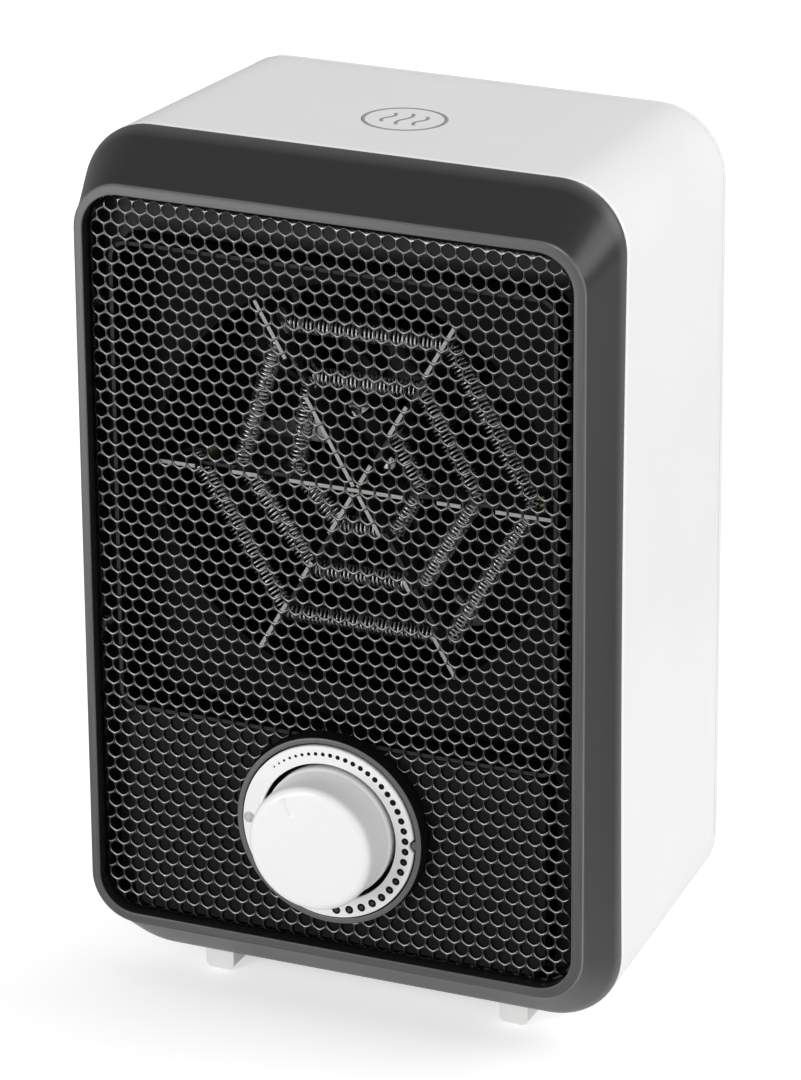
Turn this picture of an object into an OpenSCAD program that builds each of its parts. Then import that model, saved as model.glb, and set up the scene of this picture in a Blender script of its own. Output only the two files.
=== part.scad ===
// Desktop fan heater with an open-coil element behind a perforated grille.
// +Z is up, the grille faces -Y, and the origin is the centre of the box's underside.

/* [Housing] */
// Width of the shell at its seam with the bezel
shell_w = 147; // [140:1:170]
// Height of the shell at its seam with the bezel
shell_h = 227.5; // [222:0.5:260]
// Depth from the bezel's lip to the back of the rear cover
body_d = 96; // [95:1:120]
// Wall of the shell and of the rear cover
wall = 2.4; // [2:0.1:3]
// Radius of the shell's upper corners at the seam
top_r = 18; // [14:0.5:22]
// Radius of the shell's lower corners at the seam
bottom_r = 20; // [14:0.5:22]
// How far each side draws in from the seam to the back
side_draft = 3.5; // [0:0.5:5]
// How far the top draws down from the seam to the back
top_draft = 4; // [0:0.5:6]
// How far the underside draws up from the seam to the back
bottom_draft = 2; // [0:0.5:4]
// Depth of the rear cover's rim
cover_rim = 3; // [2:0.5:6]

/* [Bezel] */
// Width of the bezel's face at each side of the opening
face_side = 7.3; // [7:0.1:9]
// Mean height of the bezel's face above and below the opening
face_end = 14.65; // [14:0.05:17]
// Corner radius of the bezel's opening
opening_r = 10; // [8:0.5:12]
// How far the opening's centre lies above the shell's
opening_rise = 0.8; // [0:0.1:2]
// Width of the lip round the opening
lip_w = 3; // [2.6:0.1:3.6]
// Depth of the lip before the sloped face starts
lip_d = 3; // [2.5:0.1:4]
// Radius that the lip's edges are eased to
lip_ease = 1.1; // [0.8:0.1:1.3]
// Depth from the lip to the seam
bezel_d = 17.8; // [16:0.2:20]
// Depth of the soft rim at the seam
rim_d = 1.5; // [1:0.1:2.5]
// Share of the sloped face that stays straight before it turns into the rim
face_straight = 0.76; // [0.6:0.02:0.9]
// Wall of the bezel
bezel_wall = 2; // [1.6:0.1:2.2]
// Depth that the bezel's tongue reaches into the shell
tongue_d = 4; // [3:0.5:5]

/* [Grille] */
// Distance between neighbouring holes in a row
hole_pitch = 8; // [7.5:0.1:9]
// Width of a hole across its flats
hole_af = 7; // [6:0.1:7.2]
// Thickness of the grille's sheet
sheet_t = 0.6; // [0.5:0.1:1]
// Depth of the grille's face behind the lip
grille_recess = 2; // [1.6:0.1:3]
// Gap between the pan's edge and the opening
grille_gap = 0.8; // [0.5:0.1:1.2]
// Depth of the grille's pan
pan_d = 9; // [8:0.5:10]
// Width of the pan's rear flange
pan_flange = 2; // [1.8:0.1:2.2]

/* [Dial] */
// Outer radius of the dial's dark ring
ring_r = 25.9; // [24:0.1:28]
// Wall of the dark ring
ring_t = 1.7; // [1.2:0.1:2.5]
// How far the ring stands in front of the lip
ring_proud = 2; // [1:0.1:3]
// How far the dial plate stands in front of the ring
plate_proud = 0.6; // [0.2:0.1:0.8]
// Radius of the dial's round opening
dial_bore_r = 18.7; // [18:0.1:20]
// Thickness of the dial plate
dial_t = 1.2; // [1:0.1:2]
// Height of the dial's centre above the opening's lower edge
dial_up = 34.55; // [32:0.05:38]
// Radius of the knob's skirt
knob_r = 17.5; // [15:0.1:18]
// Radius of the knob's face
knob_face_r = 17.1; // [14:0.1:17.4]
// How far the knob stands in front of the lip
knob_proud = 14.7; // [11:0.5:18]
// Turn of the pointer from upright, as the knob stands
pointer_turn = -26.5; // [-90:0.5:175]

/* [Heater duct] */
// Distance of the duct's mouth from each side of the opening
duct_in = 6.2; // [5:0.1:9]
// Distance of the duct's mouth from the top of the opening
duct_down = 13.65; // [13:0.05:16]
// Height of the duct's mouth above the dial's centre
duct_up = 24; // [23:0.5:27]
// Depth of the duct's mouth from the lip to its round plate
mouth_d = 17; // [16:0.5:20]
// Ledge between the round tube and the mouth's nearer walls
tube_ledge = 5; // [4:0.5:7]
// Thickness of the duct's sheet
duct_t = 1; // [0.8:0.1:1.5]

/* [Heating element] */
// Depth of each mica board
board_d = 16; // [14:0.5:18]
// Thickness of each mica board
board_t = 1; // [0.8:0.1:1.3]
// Outer diameter of the wound coil
coil_d = 5; // [4:0.1:5.2]
// Distance of the outermost turn's crossings from the tube
coil_in = 9; // [9:0.5:12]
// Radius at which the innermost turn crosses the boards
coil_inner_r = 15; // [13:0.5:16]
// How much farther out a turn starts than it runs on
coil_lead = 5; // [3:0.5:5]

/* [Fan and motor] */
// Gap between the boards and the blades
board_gap = 6; // [4:0.5:8]
// Gap between the blades and the end of the duct's tube
tube_gap = 7; // [5:0.5:9]
// Depth of the motor's room, from the end of the tube to the back
motor_room = 32; // [32:0.5:36]
// Gap between the blades' tips and the tube
tip_gap = 3; // [2:0.5:5]
// Number of blades
blades = 7; // [5:1:9]
// Diameter of the impeller's hub
hub_d = 28; // [24:1:32]
// Diameter of the motor's shaft
shaft_d = 4; // [3:0.1:5]
// Diameter of the rotor
rotor_d = 23; // [20:0.5:24]
// Thickness of the stack of laminations
stack_t = 15; // [12:1:16]

/* [Feet] */
// Height of the front feet below the shell
foot_h = 7; // [5:0.5:10]
// Width of a foot
foot_w = 8; // [7.5:0.5:10]
// Length of a foot
foot_l = 16; // [12:1:18]
// Distance of the feet's centres from the middle
foot_x = 42.2; // [36:0.1:46]

/* [Fits] */
// Clearance round a turning shaft
running_gap = 0.05; // [0.02:0.01:0.1]
// Clearance between pieces that are pushed together
fit_gap = 0.2; // [0.15:0.05:0.3]
// Clearance beside a piece that passes through another
pass_gap = 0.3; // [0.2:0.1:0.5]

/* [Hidden] */
$fn = 64;

// Planes along Y, counted from the lip
lip_y = -(body_d - knob_proud) / 2;
seam_y = lip_y + bezel_d;
back_y = lip_y + body_d;
cover_y = back_y - cover_rim;
grille_y = lip_y + grille_recess;
frame_y = grille_y + pan_d;
panel_y = grille_y + sheet_t + pass_gap;
mouth_y = lip_y + mouth_d;

// Heights and widths
shell_mid = foot_h + shell_h / 2;
opening_w = shell_w - 2 * face_side;
opening_h = shell_h - 2 * face_end;
opening_mid = shell_mid + opening_rise;
opening_top = opening_mid + opening_h / 2;
opening_bottom = opening_mid - opening_h / 2;
dial_z = opening_bottom + dial_up;

// The shell's taper: 0 at the seam, 1 at the back
function taper(y) = (y - seam_y) / (back_y - seam_y);
function half_w(f) = shell_w / 2 - side_draft * f;
function top_z(f) = foot_h + shell_h - top_draft * f;
function bottom_z(f) = foot_h + bottom_draft * f;
function under_z(y) = bottom_z(taper(y));

// Bezel: the sloped face runs from the lip's outer edge to the square rim at the seam
slope_y = lip_y + lip_d;
rim_y = seam_y - rim_d;
tongue_t = 1.6;
tongue_inset = wall + fit_gap;
cavity_y = slope_y + bezel_wall;
inner_wall_t = 1.6;
lip_half_w = opening_w / 2 + lip_w;
lip_half_h = opening_h / 2 + lip_w;
function between(y, y0, a, y1, b) = a + (b - a) * (y - y0) / (y1 - y0);
function cavity_half_w(y) = between(y, cavity_y, lip_half_w - bezel_wall, rim_y, half_w(0) - bezel_wall);
function cavity_top_z(y) =
    between(y, cavity_y, opening_mid + lip_half_h - bezel_wall, rim_y, top_z(0) - bezel_wall);
function cavity_bottom_z(y) =
    between(y, cavity_y, opening_mid - lip_half_h + bezel_wall, rim_y, bottom_z(0) + bezel_wall);
function cavity_r(y, r) = between(y, cavity_y, opening_r + lip_w - bezel_wall, rim_y, r - bezel_wall);

// Fasteners
seat_gap = 0.02;
screw_r = 1.4;
screw_hole_r = screw_r + pass_gap;
head_r = 2.7;
head_t = 1.6;
cross_l = 3.2;
cross_w = 0.6;
cross_d = 0.8;

// Screws that clamp shell, frame and grille to the bezel
clamp_x = shell_w / 2 - 23.5;
clamp_dz = opening_h / 2 + 4.2;
boss_r = 2.4;
lug_r = 3.6;
lug_l = 12;
thread_l = 4;

// Grille
grille_rim = 1;
dial_cut_r = ring_r + 2 * pass_gap;

// Inner frame, control panel and duct
duct_w = opening_w - 2 * duct_in;
duct_top = opening_top - duct_down;
duct_bottom = dial_z + duct_up;
duct_h = duct_top - duct_bottom;
fan_z = (duct_top + duct_bottom) / 2;
tube_d = min(duct_w, duct_h) - 2 * tube_ledge;
frame_t = 1.2;
lug_y = frame_y + frame_t;
panel_t = 1.5;
panel_in = 2;
panel_half_w = duct_w / 2 - panel_in;
panel_corner_r = 5;
panel_bottom = opening_bottom + grille_gap + sheet_t + pass_gap;
panel_top = duct_bottom - duct_t - pass_gap;
post_r = 3.2;
duct_corner_r = 4;
duct_flange = 6;
post_edge = 2;
post_sink = 0.5;
post_x = panel_half_w - panel_t - post_r + post_sink;
post_bottom = panel_bottom + panel_t + post_r + post_edge;
post_top = panel_top - duct_flange - head_r;
window_half_w = post_x - post_r - post_edge;
window_bottom = panel_bottom + panel_t + post_edge;
window_top = panel_top - panel_t - post_edge;
duct_screw_x = duct_w / 2 + duct_t + duct_flange / 2;
duct_screw_dz = duct_h * 0.35;
tube_r = tube_d / 2;
tube_end_y = back_y - motor_room;
tube_flange = 5.5;
bridge_hole_r = tube_r + duct_t + tube_flange / 2;

// Element
coil_y = mouth_y + board_d / 2;
coil_turns = 3;
coil_r = tube_r - coil_in;
coil_step = (coil_r - coil_inner_r) / (coil_turns - 1);
arms = 6;
arm_step = 360 / arms;
crossings = coil_turns * arms - 2;
coil_hole_r = coil_d / 2 + pass_gap;
tab_w = 8;
tab_out = 0.8;
lap_half_l = board_t / 2 / sin(arm_step) + board_t / 2 / tan(arm_step) + pass_gap;
function arm_angle(k) = 180 + arm_step * k;
function lead(k) = k % arms > 0 ? 0 : k > 0 ? coil_lead : coil_lead / 2;
function turn_r(k) = coil_r - coil_step * floor(k / arms) + lead(k);
function crossing(k) =
    [turn_r(k) * cos(arm_angle(k)), coil_y, fan_z + turn_r(k) * sin(arm_angle(k))];

// The direction square to a way in the coil's plane, and the mitre between two ways
function unit(v) = v / norm(v);
function across(v) = [v[2], 0, -v[0]];
function mitre(a, b) = (across(a) + across(b)) / (1 + a * b);
function way(k) = unit(crossing(k) - crossing(k - 1));

// Half the length of a board's hole at crossing k: the coil passes it slanted, more so where a turn steps in
function along_board(k, v) = abs(v * [cos(arm_angle(k)), 0, sin(arm_angle(k))]);
function slant_reach(c) = coil_d / 2 / sqrt(1 - c * c) + board_t / 2 * c / sqrt(1 - c * c) + pass_gap;
function coil_hole_half(k) =
    max(slant_reach(along_board(k, way(max(k, 1)))), slant_reach(along_board(k, way(min(k + 1, crossings)))));

// Cutout and fuse
cutout_r = 8;
cutout_h = 7;
cutout_y = mouth_y + duct_t + cutout_r + pass_gap;
fuse_l = 14;
fuse_h = 6;

// Fan and motor
fan_r = tube_r - tip_gap;
hub_r = hub_d / 2;
shaft_r = shaft_d / 2;
rotor_r = rotor_d / 2;
air_gap = 0.35;
blade_y = mouth_y + board_d + board_gap;
blade_d = tube_end_y - tube_gap - blade_y;
blade_spread = 34;
blade_sweep = 12;
blade_narrowing = 0.12;
blade_t = 1.4;
hub_over = 0.5;
hub_face_t = 2;
hub_boss_r = shaft_r + 3;
bridge_t = 1.5;
bridge_h = 16;
bracket_t = 1.5;
bracket_leg = 3;
bracket_front_y = tube_end_y + bridge_t;
stack_y = bracket_front_y + bracket_t + bracket_leg;
bracket_rear_y = stack_y + stack_t + bracket_leg;
stack_half_w = 27;
stack_top = 20;
stack_bottom = 38;
leg_h = 8;
pole_t = 5;
bolt_x = 22;
bolt_pad_r = 4;
motor_nut_r = 3;
motor_nut_t = 2;
bush_r = 4;
bush_l = 4.5;
winding_t = 5.5;
winding_half_l = 13;
shaft_front_y = blade_y - 1;
shaft_end_y = bracket_rear_y + bracket_t + 1.5;

// Rear cover
cover_boss_r = 4.4;
cover_boss_in = 6.8;
cover_boss_l = 14;
cover_boss_end = 2;
cover_boss_x = half_w(1) - wall - cover_boss_in;
cover_boss_top = top_z(1) - wall - cover_boss_in;
cover_boss_bottom = bottom_z(1) + wall + cover_boss_in;
slot_h = 3;
slot_step = 6.5;
slot_field_r = tube_r - 3;
bush_x = 28 - half_w(1);
bush_z = bottom_z(1) + 21;
cord_r = 3.6;
neck_r = cord_r + 3;
collar_r = cord_r + 5;
collar_t = 1.2;
barb_r = cord_r + 4.5;
barb_t = 2.5;

// Feet
front_foot_y = seam_y + 2.2;
rear_foot_y = back_y - foot_l - 6;
foot_edge_r = 2;
foot_mids = [front_foot_y + foot_l / 2, rear_foot_y + foot_l / 2];
foot_boss_r = 3.2;
foot_boss_h = 7;
foot_counterbore = 3;
foot_screw_l = foot_h - foot_counterbore + foot_boss_h;

// Dial and knob
plate_back_y = lip_y - ring_proud - plate_proud + dial_t;
ledge_w = 1.8;
key_r = 1.3;
knob_skirt = 0.8;
knob_edge = 2.4;
knob_wall = 1.8;
knob_hub_r = 5;
knob_shaft_r = 3;
knob_flat = 1.8;
knob_rib_t = 1.2;
knob_rib_in = 2;
shaft_in_knob = 9;
pointer_w = 1;
pointer_d = 0.5;
pointer_in = knob_face_r - 7;
pointer_l = 5.6;

// Thermostat
body_y = panel_y + panel_t;
thermostat_w = 32;
thermostat_d = 18;
bush_out_r = 5;
bush_front_y = lip_y + knob_skirt + 0.4;
nut_af = 13;
nut_t = 1.5;
thrust_y = body_y + 2;
thrust_t = 2;
thrust_r = knob_shaft_r + 2;
blade_step = 9;
tab_blade_w = 6;
tab_blade_l = 8;
tab_blade_t = 0.8;

// Terminals
terminal_r = coil_r;
eyelet_r = 2.2;
eyelet_edge = 0.5;
eyelet_t = 0.8;
block_w = 36;
block_d = 12;
block_h = 14;
wire_hole = 3;

// Outline helpers

// Rounded rectangle about its centre, with its own radii above and below
module rounded_rect(w, h, r_top, r_bottom) {
    for (s = [-1, 1]) {
        translate([s * (w / 2 - r_top), h / 2 - r_top]) circle(r_top);
        translate([s * (w / 2 - r_bottom), r_bottom - h / 2]) circle(r_bottom);
    }
    translate([r_top - w / 2, 0]) square([w - 2 * r_top, h / 2]);
    translate([r_bottom - w / 2, -h / 2]) square([w - 2 * r_bottom, h / 2]);
    translate([-w / 2, r_bottom - h / 2]) square([w, h - r_top - r_bottom]);
}

// An outline drawn in X and Z, from depth y for t
module slab(y, t) translate([0, y + t, 0]) rotate([90, 0, 0]) linear_extrude(t) children();

// A round rod along Y, from depth y for l
module rod(x, z, y, l, r) translate([x, y, z]) rotate([-90, 0, 0]) cylinder(h = l, r = r);

// A ring along Y, from depth y for l
module ring(y, l, r_out, r_in) slab(y, l) difference() {
    circle(r_out);
    circle(r_in);
}

// The bezel's opening, grown by d
module opening_outline(d) translate([0, opening_mid])
    rounded_rect(opening_w + 2 * d, opening_h + 2 * d, opening_r + d, opening_r + d);

// The grille's pan, grown by d
module pan_outline(d) opening_outline(d - grille_gap);

// The body's outline at taper f, drawn in by inset
module body_outline(f, inset) translate([0, (top_z(f) + bottom_z(f)) / 2]) {
    h = top_z(f) - bottom_z(f) - 2 * inset;
    rounded_rect(2 * (half_w(f) - inset), h, top_r - inset, bottom_r - inset);
}

// The tapered body between two depths, drawn in by inset
module body_solid(y0, y1, inset = 0) {
    skin = 1;
    hull() {
        slab(y0, skin) body_outline(taper(max(y0, seam_y)), inset, $fn = 32);
        slab(y1 - skin, skin) body_outline(taper(y1), inset, $fn = 32);
    }
}

// A pan-head screw along Y: its head's seat at y, its tip l further along dir
module screw(x, z, y, l, dir) {
    translate([x, y, z]) rotate([-90 * dir, 0, 0]) {
        cylinder(h = l, r = screw_r);
        difference() {
            translate([0, 0, -head_t]) cylinder(h = head_t, r = head_r);
            for (a = [0, 90]) rotate(a) translate([-cross_l / 2, -cross_w / 2, -head_t - cross_d])
                cube([cross_l, cross_w, 2 * cross_d]);
        }
    }
}

// Where the clamp screws, the cover's screws and the control panel's posts stand
module at_clamps()
    for (x = [-clamp_x, clamp_x], s = [-1, 1]) translate([x, 0, opening_mid + s * clamp_dz]) children();
module at_cover_bosses()
    for (x = [-cover_boss_x, cover_boss_x], z = [cover_boss_bottom, cover_boss_top])
        translate([x, 0, z]) children();
module at_posts()
    for (x = [-post_x, post_x], z = [post_bottom, post_top]) translate([x, 0, z]) children();
module at_foot_screws() for (x = [-foot_x, foot_x], y = foot_mids) translate([x, y, 0]) children();

// Housing

// The bezel's outline at share t of its sloped face, 0 at the lip and 1 at the rim
module face_outline(t) translate([0, opening_mid + (shell_mid - opening_mid) * t]) {
    r = opening_r + lip_w;
    w = 2 * (lip_half_w + (half_w(0) - lip_half_w) * t);
    h = 2 * lip_half_h + (shell_h - 2 * lip_half_h) * t;
    rounded_rect(w, h, r + (top_r - r) * t, r + (bottom_r - r) * t);
}

// The sloped face runs straight from the lip, then turns along a parabola into the rim
module sloped_body() {
    skin = 0.05;
    straight_y = slope_y + (rim_y - slope_y) * face_straight;
    hull() {
        slab(slope_y - 1, 1) face_outline(0, $fn = 32);
        for (s = [0 : 0.25 : 1]) {
            y = pow(1 - s, 2) * straight_y + 2 * s * (1 - s) * rim_y + s * s * seam_y;
            slab(y - skin, skin) face_outline(1 - pow(1 - s, 2) * (1 - face_straight), $fn = 32);
        }
    }
}

module lip_body() hull() {
    slab(lip_y, 0.3) opening_outline(lip_w - lip_ease, $fn = 32);
    slab(lip_y + lip_ease * 0.3, 0.3) opening_outline(lip_w - lip_ease * 0.3, $fn = 32);
    slab(lip_y + lip_ease, lip_d - lip_ease) opening_outline(lip_w, $fn = 32);
}

module bezel_cavity() hull() {
    slab(cavity_y, 0.5) opening_outline(lip_w - bezel_wall, $fn = 32);
    slab(rim_y - 0.5, 0.5) body_outline(0, bezel_wall, $fn = 32);
}

module front_bezel() color("dimgray") difference() {
    union() {
        difference() {
            union() {
                sloped_body();
                lip_body();
            }
            bezel_cavity();
            slab(rim_y - 1, rim_d + 2) body_outline(0, tongue_inset + tongue_t);
        }
        slab(slope_y, frame_y - sheet_t - slope_y) opening_outline(inner_wall_t);
        intersection() {
            sloped_body();
            at_clamps() rod(0, 0, slope_y, frame_y - slope_y, boss_r);
        }
        difference() {
            slab(rim_y, rim_d + tongue_d) difference() {
                body_outline(taper(seam_y + tongue_d), tongue_inset);
                body_outline(taper(seam_y + tongue_d), tongue_inset + tongue_t);
            }
            at_clamps() translate([-lug_r - 1, seam_y, -3 * lug_r])
                cube([2 * lug_r + 2, tongue_d + 1, 6 * lug_r]);
        }
    }
    slab(lip_y - 1, bezel_d) opening_outline(0);
    hull() {
        slab(lip_y - 0.5, 0.5) opening_outline(lip_ease, $fn = 32);
        slab(lip_y + lip_ease, 0.1) opening_outline(0, $fn = 32);
    }
    at_clamps() rod(0, 0, frame_y - thread_l, thread_l + 1, screw_r + seat_gap);
}

module main_shell() color("white") difference() {
    union() {
        difference() {
            body_solid(seam_y, cover_y);
            body_solid(seam_y - 1, cover_y + 1, wall);
        }
        for (x = [-clamp_x, clamp_x]) {
            lug(x, opening_mid + clamp_dz, top_z(0) - wall / 2);
            lug(x, opening_mid - clamp_dz, bottom_z(0) + wall / 2);
        }
        at_cover_bosses() rod(0, 0, cover_y - cover_boss_l, cover_boss_l, cover_boss_r);
        for (x = [-foot_x, foot_x], y = foot_mids)
            translate([x, y, under_z(y) + wall / 2]) cylinder(h = foot_boss_h, r = foot_boss_r);
    }
    at_clamps() rod(0, 0, lug_y - 1, lug_l + 2, screw_hole_r);
    at_cover_bosses() rod(0, 0, cover_y - cover_boss_l + cover_boss_end, cover_boss_l, screw_r + seat_gap);
    at_foot_screws() cylinder(h = foot_counterbore + foot_screw_l + seat_gap, r = screw_r + seat_gap);
}

// A screw lug that a rib ties to the shell's wall behind the seam
module lug(x, z, wall_z) {
    rod(x, z, lug_y, lug_l, lug_r);
    translate([x - lug_r, seam_y, min(z, wall_z)]) cube([2 * lug_r, lug_y + lug_l - seam_y, abs(wall_z - z)]);
}

// One intake slot with round ends, w long over all, centred on z
module slot(z, w) {
    translate([slot_h / 2 - w / 2, z - slot_h / 2]) square([w - slot_h, slot_h]);
    for (s = [-1, 1]) translate([s * (w / 2 - slot_h / 2), z]) circle(slot_h / 2);
}

module rear_cover() color("white") {
    slots = floor((slot_field_r - slot_h) / slot_step);
    difference() {
        union() {
            hull() {
                slab(cover_y, cover_rim - 1.2) body_outline(taper(cover_y), 0, $fn = 32);
                slab(back_y - 0.5, 0.5) body_outline(1, 1.2, $fn = 32);
            }
            slab(cover_y - tongue_d, tongue_d + cover_rim - wall) difference() {
                body_outline(1, tongue_inset);
                body_outline(1, tongue_inset + tongue_t);
            }
        }
        slab(cover_y - 1, 1 + cover_rim - wall) body_outline(1, tongue_inset + tongue_t);
        slab(back_y - wall - 1, wall + 2) translate([0, fan_z]) for (i = [-slots : slots]) {
            z = i * slot_step;
            slot(z, 2 * sqrt(pow(slot_field_r, 2) - pow(z, 2)));
        }
        at_cover_bosses() {
            rod(0, 0, cover_y - 1, cover_rim + 2, screw_hole_r);
            rod(0, 0, back_y - head_t, head_t + 1, head_r + pass_gap);
            rod(0, 0, cover_y - tongue_d - 1, tongue_d + 1, cover_boss_r + pass_gap);
        }
        rod(bush_x, bush_z, back_y - wall - 1, wall + 2, neck_r);
        rod(bush_x, bush_z, back_y - collar_t, collar_t + 1, collar_r);
    }
}

// Grille and what lies behind it

module grille_hole(x, z) translate([x, grille_y - 1, z])
    rotate([-90, 0, 0]) rotate(30) cylinder(h = sheet_t + 2, r = hole_af / sqrt(3), $fn = 6);

// Whether a point lies in a rounded rectangle of half sizes a and b about the centre
function inside(x, z, a, b, r) = norm([max(0, abs(x) - a + r), max(0, abs(z) - b + r)]) <= r;

module front_grille() color("black") {
    hole_r = hole_af / sqrt(3);
    row_step = hole_pitch * sqrt(3) / 2;
    field_w = opening_w / 2 - grille_gap - grille_rim - hole_af / 2;
    field_h = opening_h / 2 - grille_gap - grille_rim - hole_r;
    rows = floor(field_h / row_step);
    columns = ceil(field_w / hole_pitch);
    difference() {
        union() {
            slab(grille_y, sheet_t) pan_outline(0);
            slab(grille_y, pan_d) difference() {
                pan_outline(0);
                pan_outline(-sheet_t);
            }
            slab(frame_y - sheet_t, sheet_t) difference() {
                pan_outline(pan_flange);
                pan_outline(-sheet_t);
            }
        }
        rod(0, dial_z, grille_y - 1, sheet_t + 2, dial_cut_r);
        for (j = [-rows : rows], i = [-columns : columns]) {
            x = (i + abs(j % 2) / 2) * hole_pitch;
            z = j * row_step;
            from_dial = norm([x, z + opening_mid - dial_z]);
            if (inside(x, z, field_w, field_h, opening_r / 2) && from_dial > dial_cut_r + hole_r)
                grille_hole(x, z + opening_mid);
        }
    }
}

module inner_frame() color("dimgray") difference() {
    top = cavity_top_z(frame_y) - pass_gap;
    bottom = cavity_bottom_z(frame_y) + pass_gap;
    slab(frame_y, frame_t) translate([0, (top + bottom) / 2])
        rounded_rect(2 * (cavity_half_w(frame_y) - pass_gap), top - bottom,
            cavity_r(frame_y, top_r), cavity_r(frame_y, bottom_r));
    slab(frame_y - 1, frame_t + 2) {
        translate([0, fan_z]) duct_outline(duct_t + pass_gap);
        translate([-window_half_w, window_bottom]) square([2 * window_half_w, window_top - window_bottom]);
    }
    at_clamps() rod(0, 0, frame_y - 1, frame_t + 2, screw_hole_r);
    at_posts() rod(0, 0, frame_y - 1, frame_t + 2, screw_hole_r);
    at_duct_screws() rod(0, 0, frame_y - 1, frame_t + 2, screw_r + seat_gap);
}

module control_panel() color("black") difference() {
    union() {
        difference() {
            slab(panel_y, frame_y - panel_y) panel_outline(0);
            slab(panel_y + panel_t, frame_y - panel_y) panel_outline(-panel_t);
        }
        at_posts() rod(0, 0, panel_y, frame_y - panel_y, post_r);
    }
    at_posts() rod(0, 0, frame_y - thread_l, thread_l + 1, screw_r + seat_gap);
    rod(0, dial_z, panel_y - 1, panel_t + 2, bush_out_r + pass_gap / 2);
}

module panel_outline(d) translate([0, (panel_top + panel_bottom) / 2]) {
    h = panel_top - panel_bottom + 2 * d;
    rounded_rect(2 * (panel_half_w + d), h, panel_corner_r + d, panel_corner_r + d);
}

// Dial

module dial_ring() color("dimgray") {
    front = lip_y - ring_proud;
    difference() {
        rod(0, dial_z, front, panel_y - front, ring_r);
        rod(0, dial_z, front - 1, plate_back_y - front + 1, ring_r - ring_t);
        rod(0, dial_z, front, panel_y - front + 1, ring_r - ring_t - ledge_w);
    }
    intersection() {
        rod(ring_r - ring_t, dial_z, front, plate_back_y - front, key_r);
        rod(0, dial_z, front, plate_back_y - front, ring_r - ring_t / 3);
    }
}

module dial_plate() color("white") difference() {
    rod(0, dial_z, plate_back_y - dial_t, dial_t, ring_r - ring_t - fit_gap);
    rod(0, dial_z, plate_back_y - dial_t - 1, dial_t + 2, dial_bore_r);
    rod(ring_r - ring_t, dial_z, plate_back_y - dial_t - 1, dial_t + 2, key_r + pass_gap);
}

// The knob's eased front edge: points of radius over depth, from its side to its face
function ease_arc(r, edge, front) =
    [for (a = [0 : 15 : 90]) [r - edge + edge * cos(a), front - edge + edge * sin(a)]];

module control_knob() color("white") {
    depth = knob_proud + knob_skirt;
    inner_d = depth - knob_wall;
    inner_r = knob_face_r - knob_wall;
    outline = concat([[0, 0], [knob_r, 0]], ease_arc(knob_face_r, knob_edge, depth), [[0, depth]]);
    translate([0, lip_y + knob_skirt, dial_z]) rotate([90, 0, 0]) difference() {
        union() {
            difference() {
                rotate_extrude() polygon(outline);
                translate([0, 0, -1]) cylinder(h = inner_d + 1, r = inner_r);
            }
            cylinder(h = inner_d + 0.5, r = knob_hub_r);
            for (a = [0 : 60 : 300]) rotate(a) translate([knob_hub_r - 0.5, -knob_rib_t / 2, knob_rib_in])
                cube([inner_r - knob_hub_r + 1, knob_rib_t, inner_d - knob_rib_in + 0.5]);
        }
        difference() {
            translate([0, 0, -1]) cylinder(h = shaft_in_knob + 1 + pass_gap, r = knob_shaft_r + seat_gap);
            translate([-knob_shaft_r, knob_flat + seat_gap, 0]) cube([2 * knob_shaft_r, knob_shaft_r, depth]);
        }
        rotate(-pointer_turn) translate([-pointer_w / 2, pointer_in, depth - pointer_d])
            cube([pointer_w, pointer_l, 2 * pointer_d]);
    }
}

module knob_shaft() color("silver") {
    front = lip_y + knob_skirt - shaft_in_knob;
    difference() {
        rod(0, dial_z, front, thrust_y - front, knob_shaft_r);
        translate([-knob_shaft_r, front - 1, dial_z + knob_flat])
            cube([2 * knob_shaft_r, shaft_in_knob + 1, knob_shaft_r]);
    }
    rod(0, dial_z, thrust_y, thrust_t, thrust_r);
}

module thermostat_body() color("tan") {
    difference() {
        union() {
            translate([-thermostat_w / 2, body_y, dial_z - thermostat_w / 2])
                cube([thermostat_w, thermostat_d, thermostat_w]);
            rod(0, dial_z, bush_front_y, body_y - bush_front_y + 1, bush_out_r);
        }
        rod(0, dial_z, bush_front_y - 1, thrust_y - bush_front_y + 1, knob_shaft_r + running_gap);
        rod(0, dial_z, thrust_y - running_gap, thrust_t + 1, thrust_r + pass_gap);
    }
    for (i = [-1 : 1]) translate([i * blade_step - tab_blade_w / 2, body_y + thermostat_d, dial_z])
        cube([tab_blade_w, tab_blade_l, tab_blade_t]);
}

module thermostat_nut() color("silver") difference() {
    translate([0, panel_y - nut_t, dial_z]) rotate([-90, 0, 0])
        cylinder(h = nut_t, r = nut_af / sqrt(3), $fn = 6);
    rod(0, dial_z, bush_front_y, nut_t + 1, bush_out_r + seat_gap);
}

// Duct

module duct_outline(d) rounded_rect(duct_w + 2 * d, duct_h + 2 * d, duct_corner_r + d, duct_corner_r + d);

module at_duct_screws() for (x = [-duct_screw_x, duct_screw_x], s = [-1, 1])
    translate([x, 0, fan_z + s * duct_screw_dz]) children();

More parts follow.
